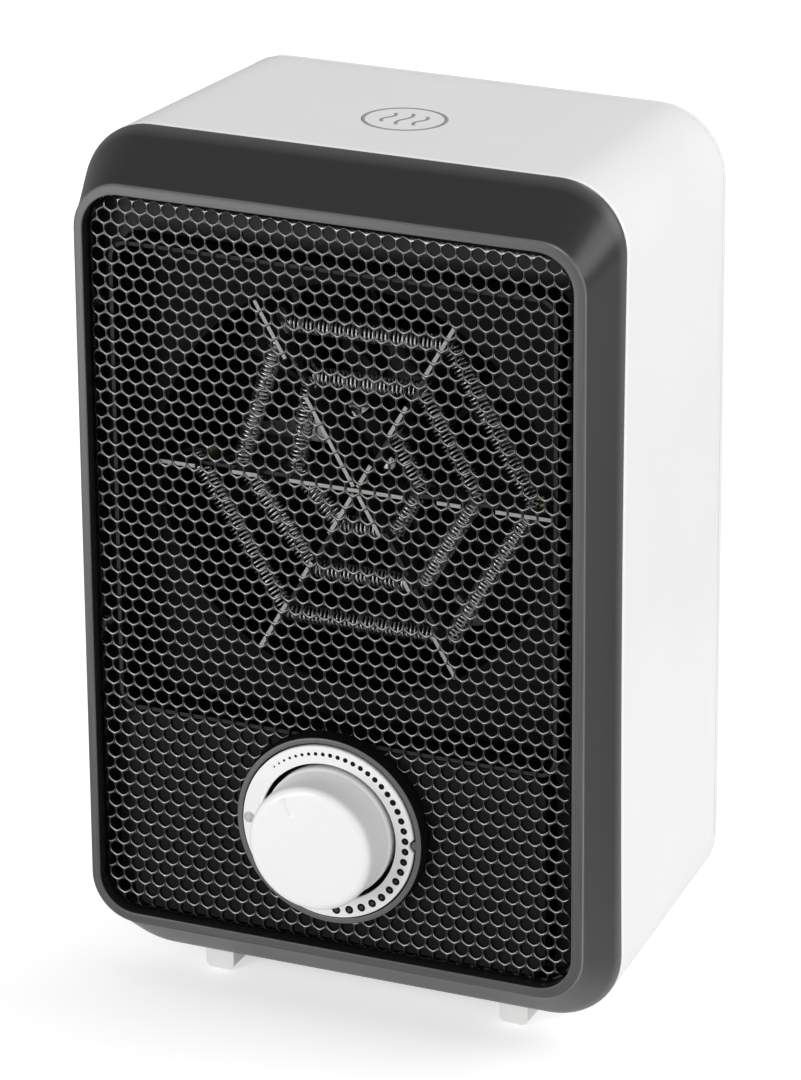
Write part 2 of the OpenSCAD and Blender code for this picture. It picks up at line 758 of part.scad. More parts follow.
module air_duct() color("gray") difference() {
    union() {
        slab(panel_y, mouth_y + duct_t - panel_y) translate([0, fan_z]) duct_outline(duct_t);
        slab(lug_y, duct_t) translate([0, fan_z]) difference() {
            duct_outline(duct_t + duct_flange);
            duct_outline(0);
        }
        rod(0, fan_z, mouth_y, tube_end_y - mouth_y, tube_r + duct_t);
        rod(0, fan_z, tube_end_y - duct_t, duct_t, tube_r + duct_t + tube_flange);
    }
    slab(panel_y - 1, mouth_y - panel_y + 1) translate([0, fan_z]) duct_outline(0);
    rod(0, fan_z, mouth_y - 1, tube_end_y - mouth_y + 2, tube_r);
    at_duct_screws() rod(0, 0, lug_y - 1, duct_t + 2, screw_hole_r);
    for (x = [-bridge_hole_r, bridge_hole_r])
        rod(x, fan_z, tube_end_y - duct_t - 1, duct_t + 2, screw_hole_r);
    for (k = [0 : arms - 1]) translate([0, coil_y, fan_z]) rotate([0, -arm_angle(k), 0])
        translate([tube_r - 1, -tab_w / 2 - fit_gap, -board_t / 2 - fit_gap])
            cube([duct_t + 2, tab_w + 2 * fit_gap, board_t + 2 * fit_gap]);
}

// Element

// A mica board at angle a; of the three thirds of its depth it keeps the given one at the crossing
module mica_board(a, third) color("wheat") {
    half_l = tube_r - fit_gap;
    translate([0, mouth_y, fan_z]) rotate([0, -a, 0]) difference() {
        union() {
            translate([-half_l, 0, -board_t / 2]) cube([2 * half_l, board_d, board_t]);
            translate([-half_l - fit_gap - duct_t - tab_out, (board_d - tab_w) / 2, -board_t / 2])
                cube([2 * (half_l + fit_gap + duct_t + tab_out), tab_w, board_t]);
        }
        for (t = [0 : 2]) if (t != third) translate([-lap_half_l, t * board_d / 3 - seat_gap / 2, -board_t])
            cube([2 * lap_half_l, board_d / 3 + seat_gap, 2 * board_t]);
        for (k = [0 : crossings]) {
            off = (arm_angle(k) - a) % 360;
            if (off % 180 == 0) translate([(off == 0 ? 1 : -1) * turn_r(k), board_d / 2, -board_t])
                coil_hole(coil_hole_half(k) - coil_hole_r);
        }
    }
}

// A hole with round ends whose centres lie off from its middle
module coil_hole(off) linear_extrude(2 * board_t) {
    translate([-off, -coil_hole_r]) square([2 * off, 2 * coil_hole_r]);
    for (s = [-off, off]) translate([s, 0]) circle(coil_hole_r);
}

module mica_board_level() mica_board(0, 0);
module mica_board_right() mica_board(arm_step, 1);
module mica_board_left() mica_board(2 * arm_step, 2);

// The wound coil's outer envelope: a tube strung through the boards' holes, mitred where it turns
module heating_coil() color("gray") {
    sides = 24;
    mitres = [for (k = [0 : crossings]) mitre(way(max(k, 1)), way(min(k + 1, crossings)))];
    points = [for (k = [0 : crossings], i = [0 : sides - 1])
        crossing(k) + coil_d / 2 * (cos(i * 360 / sides) * mitres[k] + [0, sin(i * 360 / sides), 0])];
    walls = [for (k = [0 : crossings - 1], i = [0 : sides - 1])
        let (a = k * sides, b = a + sides, j = (i + 1) % sides)
            each [[a + i, b + j, a + j], [a + i, b + i, b + j]]];
    ends = [[for (i = [0 : sides - 1]) i], [for (i = [sides - 1 : -1 : 0]) crossings * sides + i]];
    polyhedron(points, concat(ends, walls));
}

// A brass eyelet clamped on both faces of the level board near its rear edge, at x
module eyelet(x) for (s = [-1, 1])
    translate([x, mouth_y + board_d - eyelet_r - eyelet_edge, fan_z + s * (board_t + eyelet_t) / 2])
    cylinder(h = eyelet_t, r = eyelet_r, center = true);

module coil_terminals() color("gold") {
    eyelet(-terminal_r);
    eyelet(terminal_r);
}

module thermal_cutout() color("silver") difference() {
    translate([0, cutout_y, fan_z + tube_r]) {
        cylinder(h = duct_t + cutout_h, r = cutout_r);
        for (s = [-1, 1]) translate([s * cutout_r - tab_blade_w / 2, -tab_blade_w / 2, duct_t + cutout_h / 2])
            cube([tab_blade_w, tab_blade_w, tab_blade_t]);
    }
    rod(0, fan_z, mouth_y, tube_end_y - mouth_y, tube_r + duct_t);
}

module thermal_fuse() color("tan") difference() {
    rotate_on_tube(45) translate([-fuse_l / 2, coil_y - fuse_h / 2, tube_r])
        cube([fuse_l, fuse_h, duct_t + fuse_h]);
    rod(0, fan_z, mouth_y, tube_end_y - mouth_y, tube_r + duct_t);
}

// Turns a piece drawn on top of the tube by a about the tube's axis
module rotate_on_tube(a) translate([0, 0, fan_z]) rotate([0, a, 0]) children();

// Fan and motor

// One point of a blade's sheet: i of n from root to tip, j of m across its depth, on the given side
function blade_point(i, j, side, n, m) =
    let (
        r = hub_r - 1 + (fan_r - hub_r + 1) * i / n,
        t = j / m - 0.5,
        sweep = blade_sweep * i / n,
        a = blade_spread * t + sweep + side * blade_t / 2 / r * 180 / PI,
        y = blade_y + blade_d * (0.5 + t * (1 - blade_narrowing * pow(i / n, 2)))
    ) [r * cos(a), y, r * sin(a)];

module blade() {
    n = 5;
    m = 5;
    count = (n + 1) * (m + 1);
    function at(i, j, side) = (side > 0 ? 0 : count) + i * (m + 1) + j;
    points = [for (side = [1, -1], i = [0 : n], j = [0 : m]) blade_point(i, j, side, n, m)];
    sheets = [for (side = [1, -1], i = [0 : n - 1], j = [0 : m - 1])
        let (quad = [at(i, j, side), at(i, j + 1, side), at(i + 1, j + 1, side), at(i + 1, j, side)])
            each side > 0 ? [[quad[0], quad[1], quad[2]], [quad[0], quad[2], quad[3]]]
                          : [[quad[2], quad[1], quad[0]], [quad[3], quad[2], quad[0]]]];
    rim = concat([for (j = [0 : m - 1]) [0, j]], [for (i = [0 : n - 1]) [i, m]],
                 [for (j = [m : -1 : 1]) [n, j]], [for (i = [n : -1 : 1]) [i, 0]]);
    edges = [for (k = [0 : len(rim) - 1])
        let (a = rim[k], b = rim[(k + 1) % len(rim)])
            each [[at(a[0], a[1], 1), at(a[0], a[1], -1), at(b[0], b[1], -1)],
                  [at(a[0], a[1], 1), at(b[0], b[1], -1), at(b[0], b[1], 1)]]];
    polyhedron(points, concat(sheets, edges));
}

module fan_impeller() color("dimgray") {
    difference() {
        translate([0, 0, fan_z]) union() {
            rod(0, 0, blade_y - hub_over, blade_d + 2 * hub_over, hub_r);
            for (k = [0 : blades - 1]) rotate([0, k * 360 / blades, 0]) blade();
        }
        fan_ring(blade_y + hub_face_t, blade_d, hub_r - 2, hub_boss_r);
        rod(0, fan_z, blade_y - 1, blade_d + 2, shaft_r + seat_gap);
    }
}

// A ring on the fan's axis
module fan_ring(y, l, r_out, r_in) translate([0, 0, fan_z]) ring(y, l, r_out, r_in);

module motor_shaft() color("silver") rod(0, fan_z, shaft_front_y, shaft_end_y - shaft_front_y, shaft_r);

module motor_rotor() color("silver") fan_ring(stack_y, stack_t, rotor_r, shaft_r + seat_gap);

module motor_stator() color("gray") slab(stack_y, stack_t) translate([0, fan_z]) difference() {
    translate([-stack_half_w, -stack_bottom]) square([2 * stack_half_w, stack_top + stack_bottom]);
    circle(rotor_r + air_gap);
    translate([-stack_half_w + leg_h, leg_h - stack_bottom])
        square([2 * (stack_half_w - leg_h), stack_bottom - leg_h - rotor_r - pole_t]);
    for (x = [-bolt_x, bolt_x]) translate([x, 0]) circle(screw_hole_r);
}

// The wound bobbin round the stack's lower leg
module motor_coil() color("peru") translate([0, 0, fan_z - stack_bottom]) difference() {
    translate([-winding_half_l, stack_y - winding_t, -winding_t])
        cube([2 * winding_half_l, stack_t + 2 * winding_t, leg_h + 2 * winding_t]);
    translate([-winding_half_l - 1, stack_y - seat_gap, -seat_gap])
        cube([2 * winding_half_l + 2, stack_t + 2 * seat_gap, leg_h + 2 * seat_gap]);
}

// A motor bracket: its plate at y and its legs towards the stack along dir
module motor_bracket(y, dir) difference() {
    union() {
        slab(y, bracket_t) translate([0, fan_z]) {
            circle(bush_r + bolt_pad_r);
            translate([-bolt_x, -bolt_pad_r]) square([2 * bolt_x, 2 * bolt_pad_r]);
            for (x = [-bolt_x, bolt_x]) translate([x, 0]) circle(bolt_pad_r);
        }
        for (x = [-bolt_x, bolt_x])
            rod(x, fan_z, dir > 0 ? y + bracket_t : y - bracket_leg, bracket_leg, bolt_pad_r);
    }
    rod(0, fan_z, y - 1, bracket_t + 2, bush_r + seat_gap);
    for (x = [-bolt_x, bolt_x])
        rod(x, fan_z, y - bracket_leg - 1, bracket_t + 2 * bracket_leg + 2, screw_hole_r);
}

module motor_bracket_front() color("silver") motor_bracket(bracket_front_y, 1);
module motor_bracket_rear() color("silver") motor_bracket(bracket_rear_y, -1);

module motor_bushes() color("goldenrod") {
    fan_ring(bracket_front_y - bridge_t, bush_l, bush_r, shaft_r + running_gap);
    fan_ring(bracket_rear_y + bracket_t - bush_l, bush_l, bush_r, shaft_r + running_gap);
}

module motor_bridge() color("silver") difference() {
    slab(tube_end_y, bridge_t) translate([0, fan_z]) difference() {
        half_l = bridge_hole_r + bolt_pad_r;
        translate([-half_l, -bridge_h / 2]) square([2 * half_l, bridge_h]);
        circle(bush_r + pass_gap);
    }
    for (x = [-bridge_hole_r, bridge_hole_r]) rod(x, fan_z, tube_end_y - 1, bridge_t + 2, screw_r + seat_gap);
    for (x = [-bolt_x, bolt_x]) rod(x, fan_z, tube_end_y - 1, bridge_t + 2, screw_hole_r);
}

module motor_screws() color("silver") for (x = [-bolt_x, bolt_x]) {
    nut_y = bracket_rear_y + bracket_t;
    screw(x, fan_z, tube_end_y, nut_y + motor_nut_t + 0.5 - tube_end_y, 1);
    translate([x, nut_y, fan_z]) rotate([-90, 0, 0]) difference() {
        cylinder(h = motor_nut_t, r = motor_nut_r, $fn = 6);
        translate([0, 0, -1]) cylinder(h = motor_nut_t + 2, r = screw_r + seat_gap);
    }
}

module bridge_screws() color("silver") for (x = [-bridge_hole_r, bridge_hole_r])
    screw(x, fan_z, tube_end_y - duct_t, duct_t + bridge_t + 1, 1);

module duct_screws() color("silver") at_duct_screws()
    screw(0, 0, lug_y + duct_t, duct_t + frame_t - seat_gap, -1);

module frame_screws() color("silver") {
    at_clamps() screw(0, 0, lug_y + lug_l, lug_l + frame_t + thread_l - 0.5, -1);
    at_posts() screw(0, 0, lug_y, frame_t + thread_l - 0.5, -1);
}

module cover_screws() color("silver") at_cover_bosses()
    screw(0, 0, back_y - head_t, cover_rim - head_t + cover_boss_l - cover_boss_end - 1, -1);

// Wiring and the cord's way in

module terminal_block() color("ivory") difference() {
    y = back_y - wall - block_d;
    translate([-block_w / 2, y, bush_z - block_h / 2]) cube([block_w, block_d, block_h]);
    for (i = [-1 : 1]) translate([i * block_w / 3, y, bush_z]) {
        translate([0, block_d / 2, block_h / 2 - wire_hole]) cylinder(h = wire_hole + 1, r = 2);
        translate([-wire_hole / 2, -1, (wire_hole - block_h) / 2])
            cube([wire_hole, block_d - 1, wire_hole]);
    }
}

module cord_bush() color("dimgray") difference() {
    union() {
        rod(bush_x, bush_z, back_y - collar_t, collar_t, collar_r - fit_gap);
        rod(bush_x, bush_z, back_y - wall - barb_t, wall + barb_t, neck_r - fit_gap);
        rod(bush_x, bush_z, back_y - wall - barb_t, barb_t, barb_r);
    }
    rod(bush_x, bush_z, back_y - wall - barb_t - 1, wall + barb_t + 2, cord_r);
}

// Feet

// A foot from the floor to the shell's underside, its front face at y
module foot(x, y) difference() {
    top = bottom_z(1) + 2;
    slab(y, foot_l) translate([x, 0]) {
        for (s = [-1, 1]) translate([s * (foot_w / 2 - foot_edge_r), foot_edge_r]) circle(foot_edge_r);
        translate([foot_edge_r - foot_w / 2, 0]) square([foot_w - 2 * foot_edge_r, top]);
        translate([-foot_w / 2, foot_edge_r]) square([foot_w, top - foot_edge_r]);
    }
    body_solid(seam_y, cover_y);
    translate([x, y + foot_l / 2, -1]) cylinder(h = top + 2, r = screw_hole_r);
    translate([x, y + foot_l / 2, -1]) cylinder(h = 1 + foot_counterbore, r = head_r + 0.1);
}

module front_feet() color("gainsboro") for (x = [-foot_x, foot_x]) foot(x, front_foot_y);
module rear_feet() color("gainsboro") for (x = [-foot_x, foot_x]) foot(x, rear_foot_y);

module foot_screws() color("silver") at_foot_screws()
    translate([0, 0, foot_counterbore]) rotate([90, 0, 0]) screw(0, 0, 0, foot_screw_l, 1);

front_bezel();
front_grille();
main_shell();
rear_cover();
inner_frame();
control_panel();
dial_ring();
dial_plate();
control_knob();
knob_shaft();
thermostat_body();
thermostat_nut();
air_duct();
mica_board_level();
mica_board_left();
mica_board_right();
heating_coil();
coil_terminals();
thermal_cutout();
thermal_fuse();
fan_impeller();
motor_shaft();
motor_rotor();
motor_stator();
motor_coil();
motor_bracket_front();
motor_bracket_rear();
motor_bushes();
motor_bridge();
motor_screws();
bridge_screws();
duct_screws();
frame_screws();
cover_screws();
terminal_block();
cord_bush();
front_feet();
rear_feet();
foot_screws();
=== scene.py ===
import math

import bmesh
import bpy
import numpy as np
from mathutils import Matrix, Vector


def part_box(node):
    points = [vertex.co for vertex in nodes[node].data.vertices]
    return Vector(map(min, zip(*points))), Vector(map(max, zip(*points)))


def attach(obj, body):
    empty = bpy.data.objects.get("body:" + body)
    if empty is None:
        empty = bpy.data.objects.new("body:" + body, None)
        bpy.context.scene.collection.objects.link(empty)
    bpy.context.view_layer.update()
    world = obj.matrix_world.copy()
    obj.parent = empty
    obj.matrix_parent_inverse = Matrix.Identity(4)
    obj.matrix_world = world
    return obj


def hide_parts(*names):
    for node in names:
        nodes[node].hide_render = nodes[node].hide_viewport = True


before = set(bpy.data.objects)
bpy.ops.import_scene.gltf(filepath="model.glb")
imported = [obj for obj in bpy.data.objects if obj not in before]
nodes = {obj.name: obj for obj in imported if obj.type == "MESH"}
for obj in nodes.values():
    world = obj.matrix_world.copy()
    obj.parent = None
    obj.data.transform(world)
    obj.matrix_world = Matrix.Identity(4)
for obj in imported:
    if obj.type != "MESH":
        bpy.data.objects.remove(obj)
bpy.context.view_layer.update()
mm = 0.001

# The studio's camera: a long lens, to the right of the heater and a little above it. It aims at a
# point near the heater's middle and leans by under half a degree.
camera_azimuth = math.radians(23.67)
camera_elevation = math.radians(22.05)
camera_roll = math.radians(-0.43)
camera_distance = 1.506
camera_aim = (0.0018, 0.0006, 0.1217)


def add_object(name, data):
    """A new object in the scene."""
    added = bpy.data.objects.new(name, data)
    bpy.context.scene.collection.objects.link(added)
    return added


camera = add_object("camera", bpy.data.cameras.new("camera"))
camera.data.lens = 194.3
camera.data.sensor_width = 36.0
camera.data.clip_end = 10.0
camera_swing = Matrix.Rotation(camera_azimuth, 4, "Z")
camera_lift = Matrix.Rotation(math.pi / 2 - camera_elevation, 4, "X")
camera_lean = Matrix.Rotation(camera_roll, 4, "Z")
camera.matrix_world = (Matrix.Translation(camera_aim) @ camera_swing @ camera_lift @ camera_lean
                       @ Matrix.Translation((0, 0, camera_distance)))
bpy.context.scene.camera = camera


# Front bezel: one moulding in dark grey plastic. Its lip frames the grille, its face slopes back to a
# soft rim that meets the shell, and a wall inside holds the grille's pan. The rim bows forward halfway
# up each side.
bezel_low, bezel_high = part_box("front_bezel")
lip_y = bezel_low.y
seam_depth = 17.8 * mm
shell_half_w = bezel_high.x
shell_low = bezel_low.z
shell_high = bezel_high.z
shell_middle = (shell_low + shell_high) / 2
seam_r_low, seam_r_high = 20 * mm, 18 * mm
opening_half_w = 66.55 * mm
opening_x = -0.35 * mm
opening_low, opening_high = 22.25 * mm, 220.85 * mm
opening_r = 10 * mm
lip_w = 2.7 * mm
lip_d = 1 * mm
rim_bow = 2.3 * mm
bow_from, bow_over = 5 * mm, 11 * mm
inner_wall_end, inner_wall_t = 10.4 * mm, 1.6 * mm
tongue_in, tongue_t, tongue_d = 2.7 * mm, 1.5 * mm, 4 * mm
merge_within = 0.002 * mm


def rounded_loops(half_w, low, high, r_low, r_high, arc=14, run=12):
    """Rounded rectangles in X and Z, one for each entry of the given arrays, as (loops, points, 2).

    Points are even over each corner's quarter turn and along each straight run between corners.
    """
    half_w, low, high, r_low, r_high = (np.atleast_1d(np.asarray(v, float))[:, None]
                                        for v in (half_w, low, high, r_low, r_high))
    quarter = np.linspace(0, np.pi / 2, arc + 1)
    corners = []
    for k, (side, r, edge, into) in enumerate(((1, r_high, high, -1), (-1, r_high, high, -1),
                                               (-1, r_low, low, 1), (1, r_low, low, 1))):
        t = quarter + k * np.pi / 2
        x = side * (half_w - r) + r * np.cos(t)
        z = edge + into * r + r * np.sin(t)
        corners.append(np.stack([x, z], axis=-1))
    share = np.linspace(0, 1, run + 1)[1:-1][None, :, None]
    loops = []
    for k in range(4):
        start, end = corners[k][:, -1:], corners[(k + 1) % 4][:, :1]
        loops += [corners[k], start + (end - start) * share]
    return np.concatenate(loops, axis=1)


def run_length(line):
    """Length along a line of points (points, 3), from 0 at its first point."""
    return np.concatenate([[0], np.cumsum(np.linalg.norm(np.diff(line, axis=0), axis=1))])


def surface(name, grid, closed_u=True, closed_v=False, sharp=30, mapped=False):
    """A mesh object from a grid of points (v, u, 3): one quad a cell, and closed ways join end to start.

    Where it is mapped, U is the length along the middle row and V the length down the first column.
    """
    v_count, u_count = grid.shape[:2]
    v, u = np.meshgrid(np.arange(v_count if closed_v else v_count - 1),
                       np.arange(u_count if closed_u else u_count - 1), indexing="ij")
    v1, u1 = (v + 1) % v_count, (u + 1) % u_count
    quads = np.stack([v * u_count + u, v * u_count + u1, v1 * u_count + u1, v1 * u_count + u], axis=-1)
    uv = None
    if mapped:
        row = np.vstack([grid[v_count // 2], grid[v_count // 2, :1]])
        column = np.vstack([grid[:, 0], grid[:1, 0]])
        along, down = run_length(row), run_length(column)
        uv = np.stack([np.stack([along[u], along[u + 1], along[u + 1], along[u]], axis=-1),
                       np.stack([down[v], down[v], down[v + 1], down[v + 1]], axis=-1)], axis=-1)
    return mesh_object(name, grid.reshape(-1, 3), quads.reshape(-1, 4), sharp, uv)


def mesh_object(name, points, faces, sharp=30, uv=None):
    """A mesh object from points and faces, with doubles merged and normals outwards.

    Edges over sharp degrees stay sharp, and uv gives each face's corners their place on the map.
    """
    mesh = bpy.data.meshes.new(name)
    mesh.from_pydata(np.asarray(points).tolist(), [], np.asarray(faces).tolist())
    if uv is not None:
        mesh.uv_layers.new(name="along").uv.foreach_set("vector", uv.astype(np.float32).ravel())
    work = bmesh.new()
    work.from_mesh(mesh)
    bmesh.ops.remove_doubles(work, verts=work.verts, dist=merge_within)
    bmesh.ops.dissolve_degenerate(work, edges=work.edges, dist=1e-7)
    bmesh.ops.recalc_face_normals(work, faces=work.faces)
    work.to_mesh(mesh)
    work.free()
    mesh.shade_smooth()
    mesh.set_sharp_from_angle(angle=math.radians(sharp))
    return add_object(name, mesh)


def loft(stations):
    """Points (loops, points, 3) from stations: depth, half width, low, high, low radius, high radius."""
    stations = np.asarray(stations, float)
    loops = rounded_loops(*stations[:, 1:].T)
    depth = np.broadcast_to(stations[:, :1], loops.shape[:2])
    return np.stack([loops[..., 0], lip_y + depth, loops[..., 1]], axis=-1)


def bowed(points, share):
    """Moves points forward by a parabola over the height, on the sides only, by a share for each loop."""
    half_h = (shell_high - shell_low) / 2
    up = np.clip(np.abs(points[..., 2] - shell_middle) / half_h, 0, 1)
    across = np.clip(np.abs(points[..., 0]) / shell_half_w, 0, 1)
    points[..., 1] -= rim_bow * (1 - up ** 2) * across ** 6 * np.asarray(share)[:, None]
    return points


def station(depth, inset, half_w, low, high, r_low, r_high):
    """A loop of the loft at a depth, drawn in by a distance."""
    return np.array([depth, half_w - inset, low + inset, high - inset, r_low - inset, r_high - inset])


def opening_station(depth, grow):
    """A loop round the bezel's opening, grown by a distance."""
    return station(depth, -grow, opening_half_w, opening_low, opening_high, opening_r, opening_r)


def seam_station(depth, inset):
    """A loop at the seam's outline, drawn in by a distance."""
    return station(depth, inset, shell_half_w, shell_low, shell_high, seam_r_low, seam_r_high)


def bend(a, b, c, steps):
    """Points of the quadratic curve (1-s)^2 a + 2s(1-s) b + s^2 c, its ends included."""
    s = np.linspace(0, 1, steps + 1)[:, None]
    return (1 - s) ** 2 * a + 2 * s * (1 - s) * b + s ** 2 * c


lip_ease = 0.3 * mm
slope_start = opening_station(lip_d, lip_w)
slope_end = seam_station(16.3 * mm, 0)
slope = slope_end - slope_start
fillet_start = slope_start + 0.74 * slope
bezel_stations = np.vstack([
    opening_station(inner_wall_end, 0),
    opening_station(2.2 * mm, 0),
    bend(opening_station(lip_ease, 0), opening_station(0, 0), opening_station(0, lip_ease), 4),
    bend(opening_station(0, lip_w - lip_ease), opening_station(0, lip_w),
         opening_station(lip_ease, lip_w), 4),
    bend(opening_station(lip_d - lip_ease, lip_w), slope_start, slope_start + 0.05 * slope, 3),
    slope_start + np.array([[0.3], [0.55]]) * slope,
    bend(fillet_start, slope_end, seam_station(seam_depth - 0.5 * mm, 0), 7),
    bend(seam_station(seam_depth - 0.3 * mm, 0), seam_station(seam_depth - 0.1 * mm, 0),
         seam_station(seam_depth - 0.1 * mm, 0.4 * mm), 2),
    seam_station(seam_depth - 0.1 * mm, tongue_in),
    seam_station(seam_depth + tongue_d, tongue_in),
    seam_station(seam_depth + tongue_d, tongue_in + tongue_t),
    seam_station(seam_depth - 1.5 * mm, tongue_in + tongue_t),
    opening_station(5 * mm, inner_wall_t),
    opening_station(inner_wall_end, inner_wall_t),
])
bezel_bow = np.clip((bezel_stations[:, 0] - bow_from) / bow_over, 0, 1) ** 2
bezel_points = bowed(loft(bezel_stations), bezel_bow)
bezel_points[bezel_stations[:, 1] < opening_half_w + 2 * mm, :, 0] += opening_x
bezel = surface("bezel", bezel_points, closed_v=True, mapped=True)
fillet_at = 18
section_length = run_length(bezel_points[:, 0])
# Where the painted highlight on the bezel's rim begins and ends, along its section.
rim_highlight_from, rim_highlight_to = section_length[fillet_at + 1], section_length[fillet_at + 4]


def node_group(name, vector, numbers, results):
    """A shader node group with a vector and numbers in and numbers out, and its input and output nodes."""
    group = bpy.data.node_groups.new(name, "ShaderNodeTree")
    group.interface.new_socket(name=vector, in_out="INPUT", socket_type="NodeSocketVector")
    for label, value in numbers.items():
        socket = group.interface.new_socket(name=label, in_out="INPUT", socket_type="NodeSocketFloat")
        socket.default_value = value
    for label in results:
        group.interface.new_socket(name=label, in_out="OUTPUT", socket_type="NodeSocketFloat")
    return group, group.nodes.new("NodeGroupInput"), group.nodes.new("NodeGroupOutput")


def feed(tree, socket, value):
    """Gives an input a link, where the value is another node's socket, or a number of its own."""
    if isinstance(value, bpy.types.NodeSocket):
        tree.links.new(value, socket)
    else:
        socket.default_value = value


def math_node(tree, operation, *values, clamp=False):
    """A Math node; each value is a socket or a number. Returns its output."""
    node = tree.nodes.new("ShaderNodeMath")
    node.operation = operation
    node.use_clamp = clamp
    for socket, value in zip(node.inputs, values):
        feed(tree, socket, value)
    return node.outputs[0]


def vector_node(tree, operation, vector, second=(0, 0, 0)):
    """A Vector Math node on a vector socket and a second vector."""
    node = tree.nodes.new("ShaderNodeVectorMath")
    node.operation = operation
    node.inputs[1].default_value = second
    tree.links.new(vector, node.inputs[0])
    return node


def part_of(tree, vector, axis):
    """A vector socket's X, Y or Z."""
    node = tree.nodes.new("ShaderNodeSeparateXYZ")
    tree.links.new(vector, node.inputs["Vector"])
    return node.outputs[axis]


def texture_node(tree, kind, vector, scale):
    """A texture node on a vector socket; its scale is a socket or a number."""
    node = tree.nodes.new(kind)
    tree.links.new(vector, node.inputs["Vector"])
    feed(tree, node.inputs["Scale"], scale)
    return node


def noise_node(tree, vector, scale, detail=2.0):
    """A Noise Texture on a vector socket. Returns its Fac output."""
    node = texture_node(tree, "ShaderNodeTexNoise", vector, scale)
    node.inputs["Detail"].default_value = detail
    return node.outputs["Fac"]


def part_way(tree, factor, first, second):
    """Part of the way from a colour socket to a colour, by a factor socket. Returns the output."""
    node = tree.nodes.new("ShaderNodeMix")
    node.data_type = "RGBA"
    feed(tree, node.inputs["Factor"], factor)
    for socket, value in zip([s for s in node.inputs if s.type == "RGBA"], (first, (*second, 1))):
        feed(tree, socket, value)
    return [s for s in node.outputs if s.type == "RGBA"][0]


def skin_group(name, label, value):
    """A node group for a skin: a place and a number go in, a bump's Height and a Mottle come out.

    Returns the group, its place and number sockets and a function that links the two results.
    """
    group, group_in, group_out = node_group(name, "Vector", {label: value}, ["Height", "Mottle"])

    def results(height, mottle):
        group.links.new(height, group_out.inputs["Height"])
        group.links.new(mottle, group_out.inputs["Mottle"])

    return group, group_in.outputs["Vector"], group_in.outputs[label], results


# The skin of a moulded part: fine spark-eroded grain, and slow mottling where the melt cooled unevenly.
moulding, place, scale, results = skin_group("moulding", "Grain Scale", 900.0)
results(noise_node(moulding, place, scale, 3.0), noise_node(moulding, place, 28.0, 3.0))


def set_inputs(node, **values):
    """Gives a node's inputs their values by name, where _ stands for a space."""
    for label, value in values.items():
        node.inputs[label.replace("_", " ")].default_value = value


def group_node(tree, group, vector, **values):
    """A group's node on a vector socket, with numbers for its other inputs."""
    node = tree.nodes.new("ShaderNodeGroup")
    node.node_tree = group
    tree.links.new(vector, node.inputs[0])
    set_inputs(node, **values)
    return node


def finish(name, color, roughness, height=0.0, spread=0.06, group=moulding, values=(), place="Object",
           **sockets):
    """A Principled material with a group's Mottle in its colour and roughness and its Height as bump.

    The colour runs from color*(1-spread) to color*(1+spread), the roughness over 0.12 from 0.06 below.
    The height is in metres. The values go to the group's sockets, the sockets to the shader's.
    """
    material = bpy.data.materials.new(name)
    material.use_nodes = True
    tree = material.node_tree
    shader = tree.nodes["Principled BSDF"]
    where = tree.nodes.new("ShaderNodeTexCoord")
    effect = group_node(tree, group, where.outputs[place], **dict(values))
    ramp = tree.nodes.new("ShaderNodeValToRGB")
    for stop, position, scale in zip(ramp.color_ramp.elements, (0.3, 0.7), (1 - spread, 1 + spread)):
        stop.position = position
        stop.color = [min(1, c * scale) for c in color] + [1]
    tree.links.new(effect.outputs["Mottle"], ramp.inputs["Fac"])
    tree.links.new(ramp.outputs["Color"], shader.inputs["Base Color"])
    rough = math_node(tree, "MULTIPLY_ADD", effect.outputs["Mottle"], 0.12, roughness - 0.06)
    tree.links.new(rough, shader.inputs["Roughness"])
    if height:
        bump = tree.nodes.new("ShaderNodeBump")
        bump.inputs["Distance"].default_value = height
        tree.links.new(effect.outputs["Height"], bump.inputs["Height"])
        tree.links.new(bump.outputs["Normal"], shader.inputs["Normal"])
    set_inputs(shader, **sockets)
    return material


def dress(piece, *materials):
    """Gives a piece, or a CAD node, its materials; its faces take the first."""
    piece.data.materials.clear()
    for material in materials:
        piece.data.materials.append(material)


def drawn_out(tree, vector, share):
    """A vector socket with X shortened to a share, so that a texture on it runs long along X."""
    return vector_node(tree, "MULTIPLY", vector, (share, 1, 1)).outputs["Vector"]


# Brushing that runs along a surface's U: fine scratches, long one way and narrow the other.
brushed, place, scale, results = skin_group("brushed", "Line Scale", 2600.0)
scratches = noise_node(brushed, drawn_out(brushed, place, 0.012), scale, 3.0)
results(scratches, scratches)

# Where a point lies in front of a depth: 1 in front of it, falling to 0 over a short blend behind it.
front_face, front_in, front_out = node_group(
    "front face", "Vector", {"Depth": 0.0, "Blend": 0.0001}, ["Mask"])
behind = math_node(front_face, "SUBTRACT", part_of(front_face, front_in.outputs["Vector"], "Y"),
                   front_in.outputs["Depth"])
share = math_node(front_face, "DIVIDE", behind, front_in.outputs["Blend"])
front_face.links.new(math_node(front_face, "SUBTRACT", 1.0, share, clamp=True), front_out.inputs["Mask"])


def recolor(material, factor, color):
    """Takes a material's colour part of the way to another, by a factor socket."""
    tree = material.node_tree
    base = tree.nodes["Principled BSDF"].inputs["Base Color"]
    tree.links.new(part_way(tree, factor, base.links[0].from_socket, color), base)


def with_front(material, depth, blend, color, place="Object"):
    """Gives a material another colour in front of a depth along Y, or up to a V where the place is UV."""
    tree = material.node_tree
    where = tree.nodes.new("ShaderNodeTexCoord")
    mask = group_node(tree, front_face, where.outputs[place], Depth=depth, Blend=blend)
    recolor(material, mask.outputs["Mask"], color)
    return material


def face_values(piece, value):
    """A vector for each face of a piece, such as its center or normal, as (faces, 3)."""
    found = np.empty((len(piece.data.polygons), 3), np.float32)
    piece.data.polygons.foreach_get(value, found.ravel())
    return found


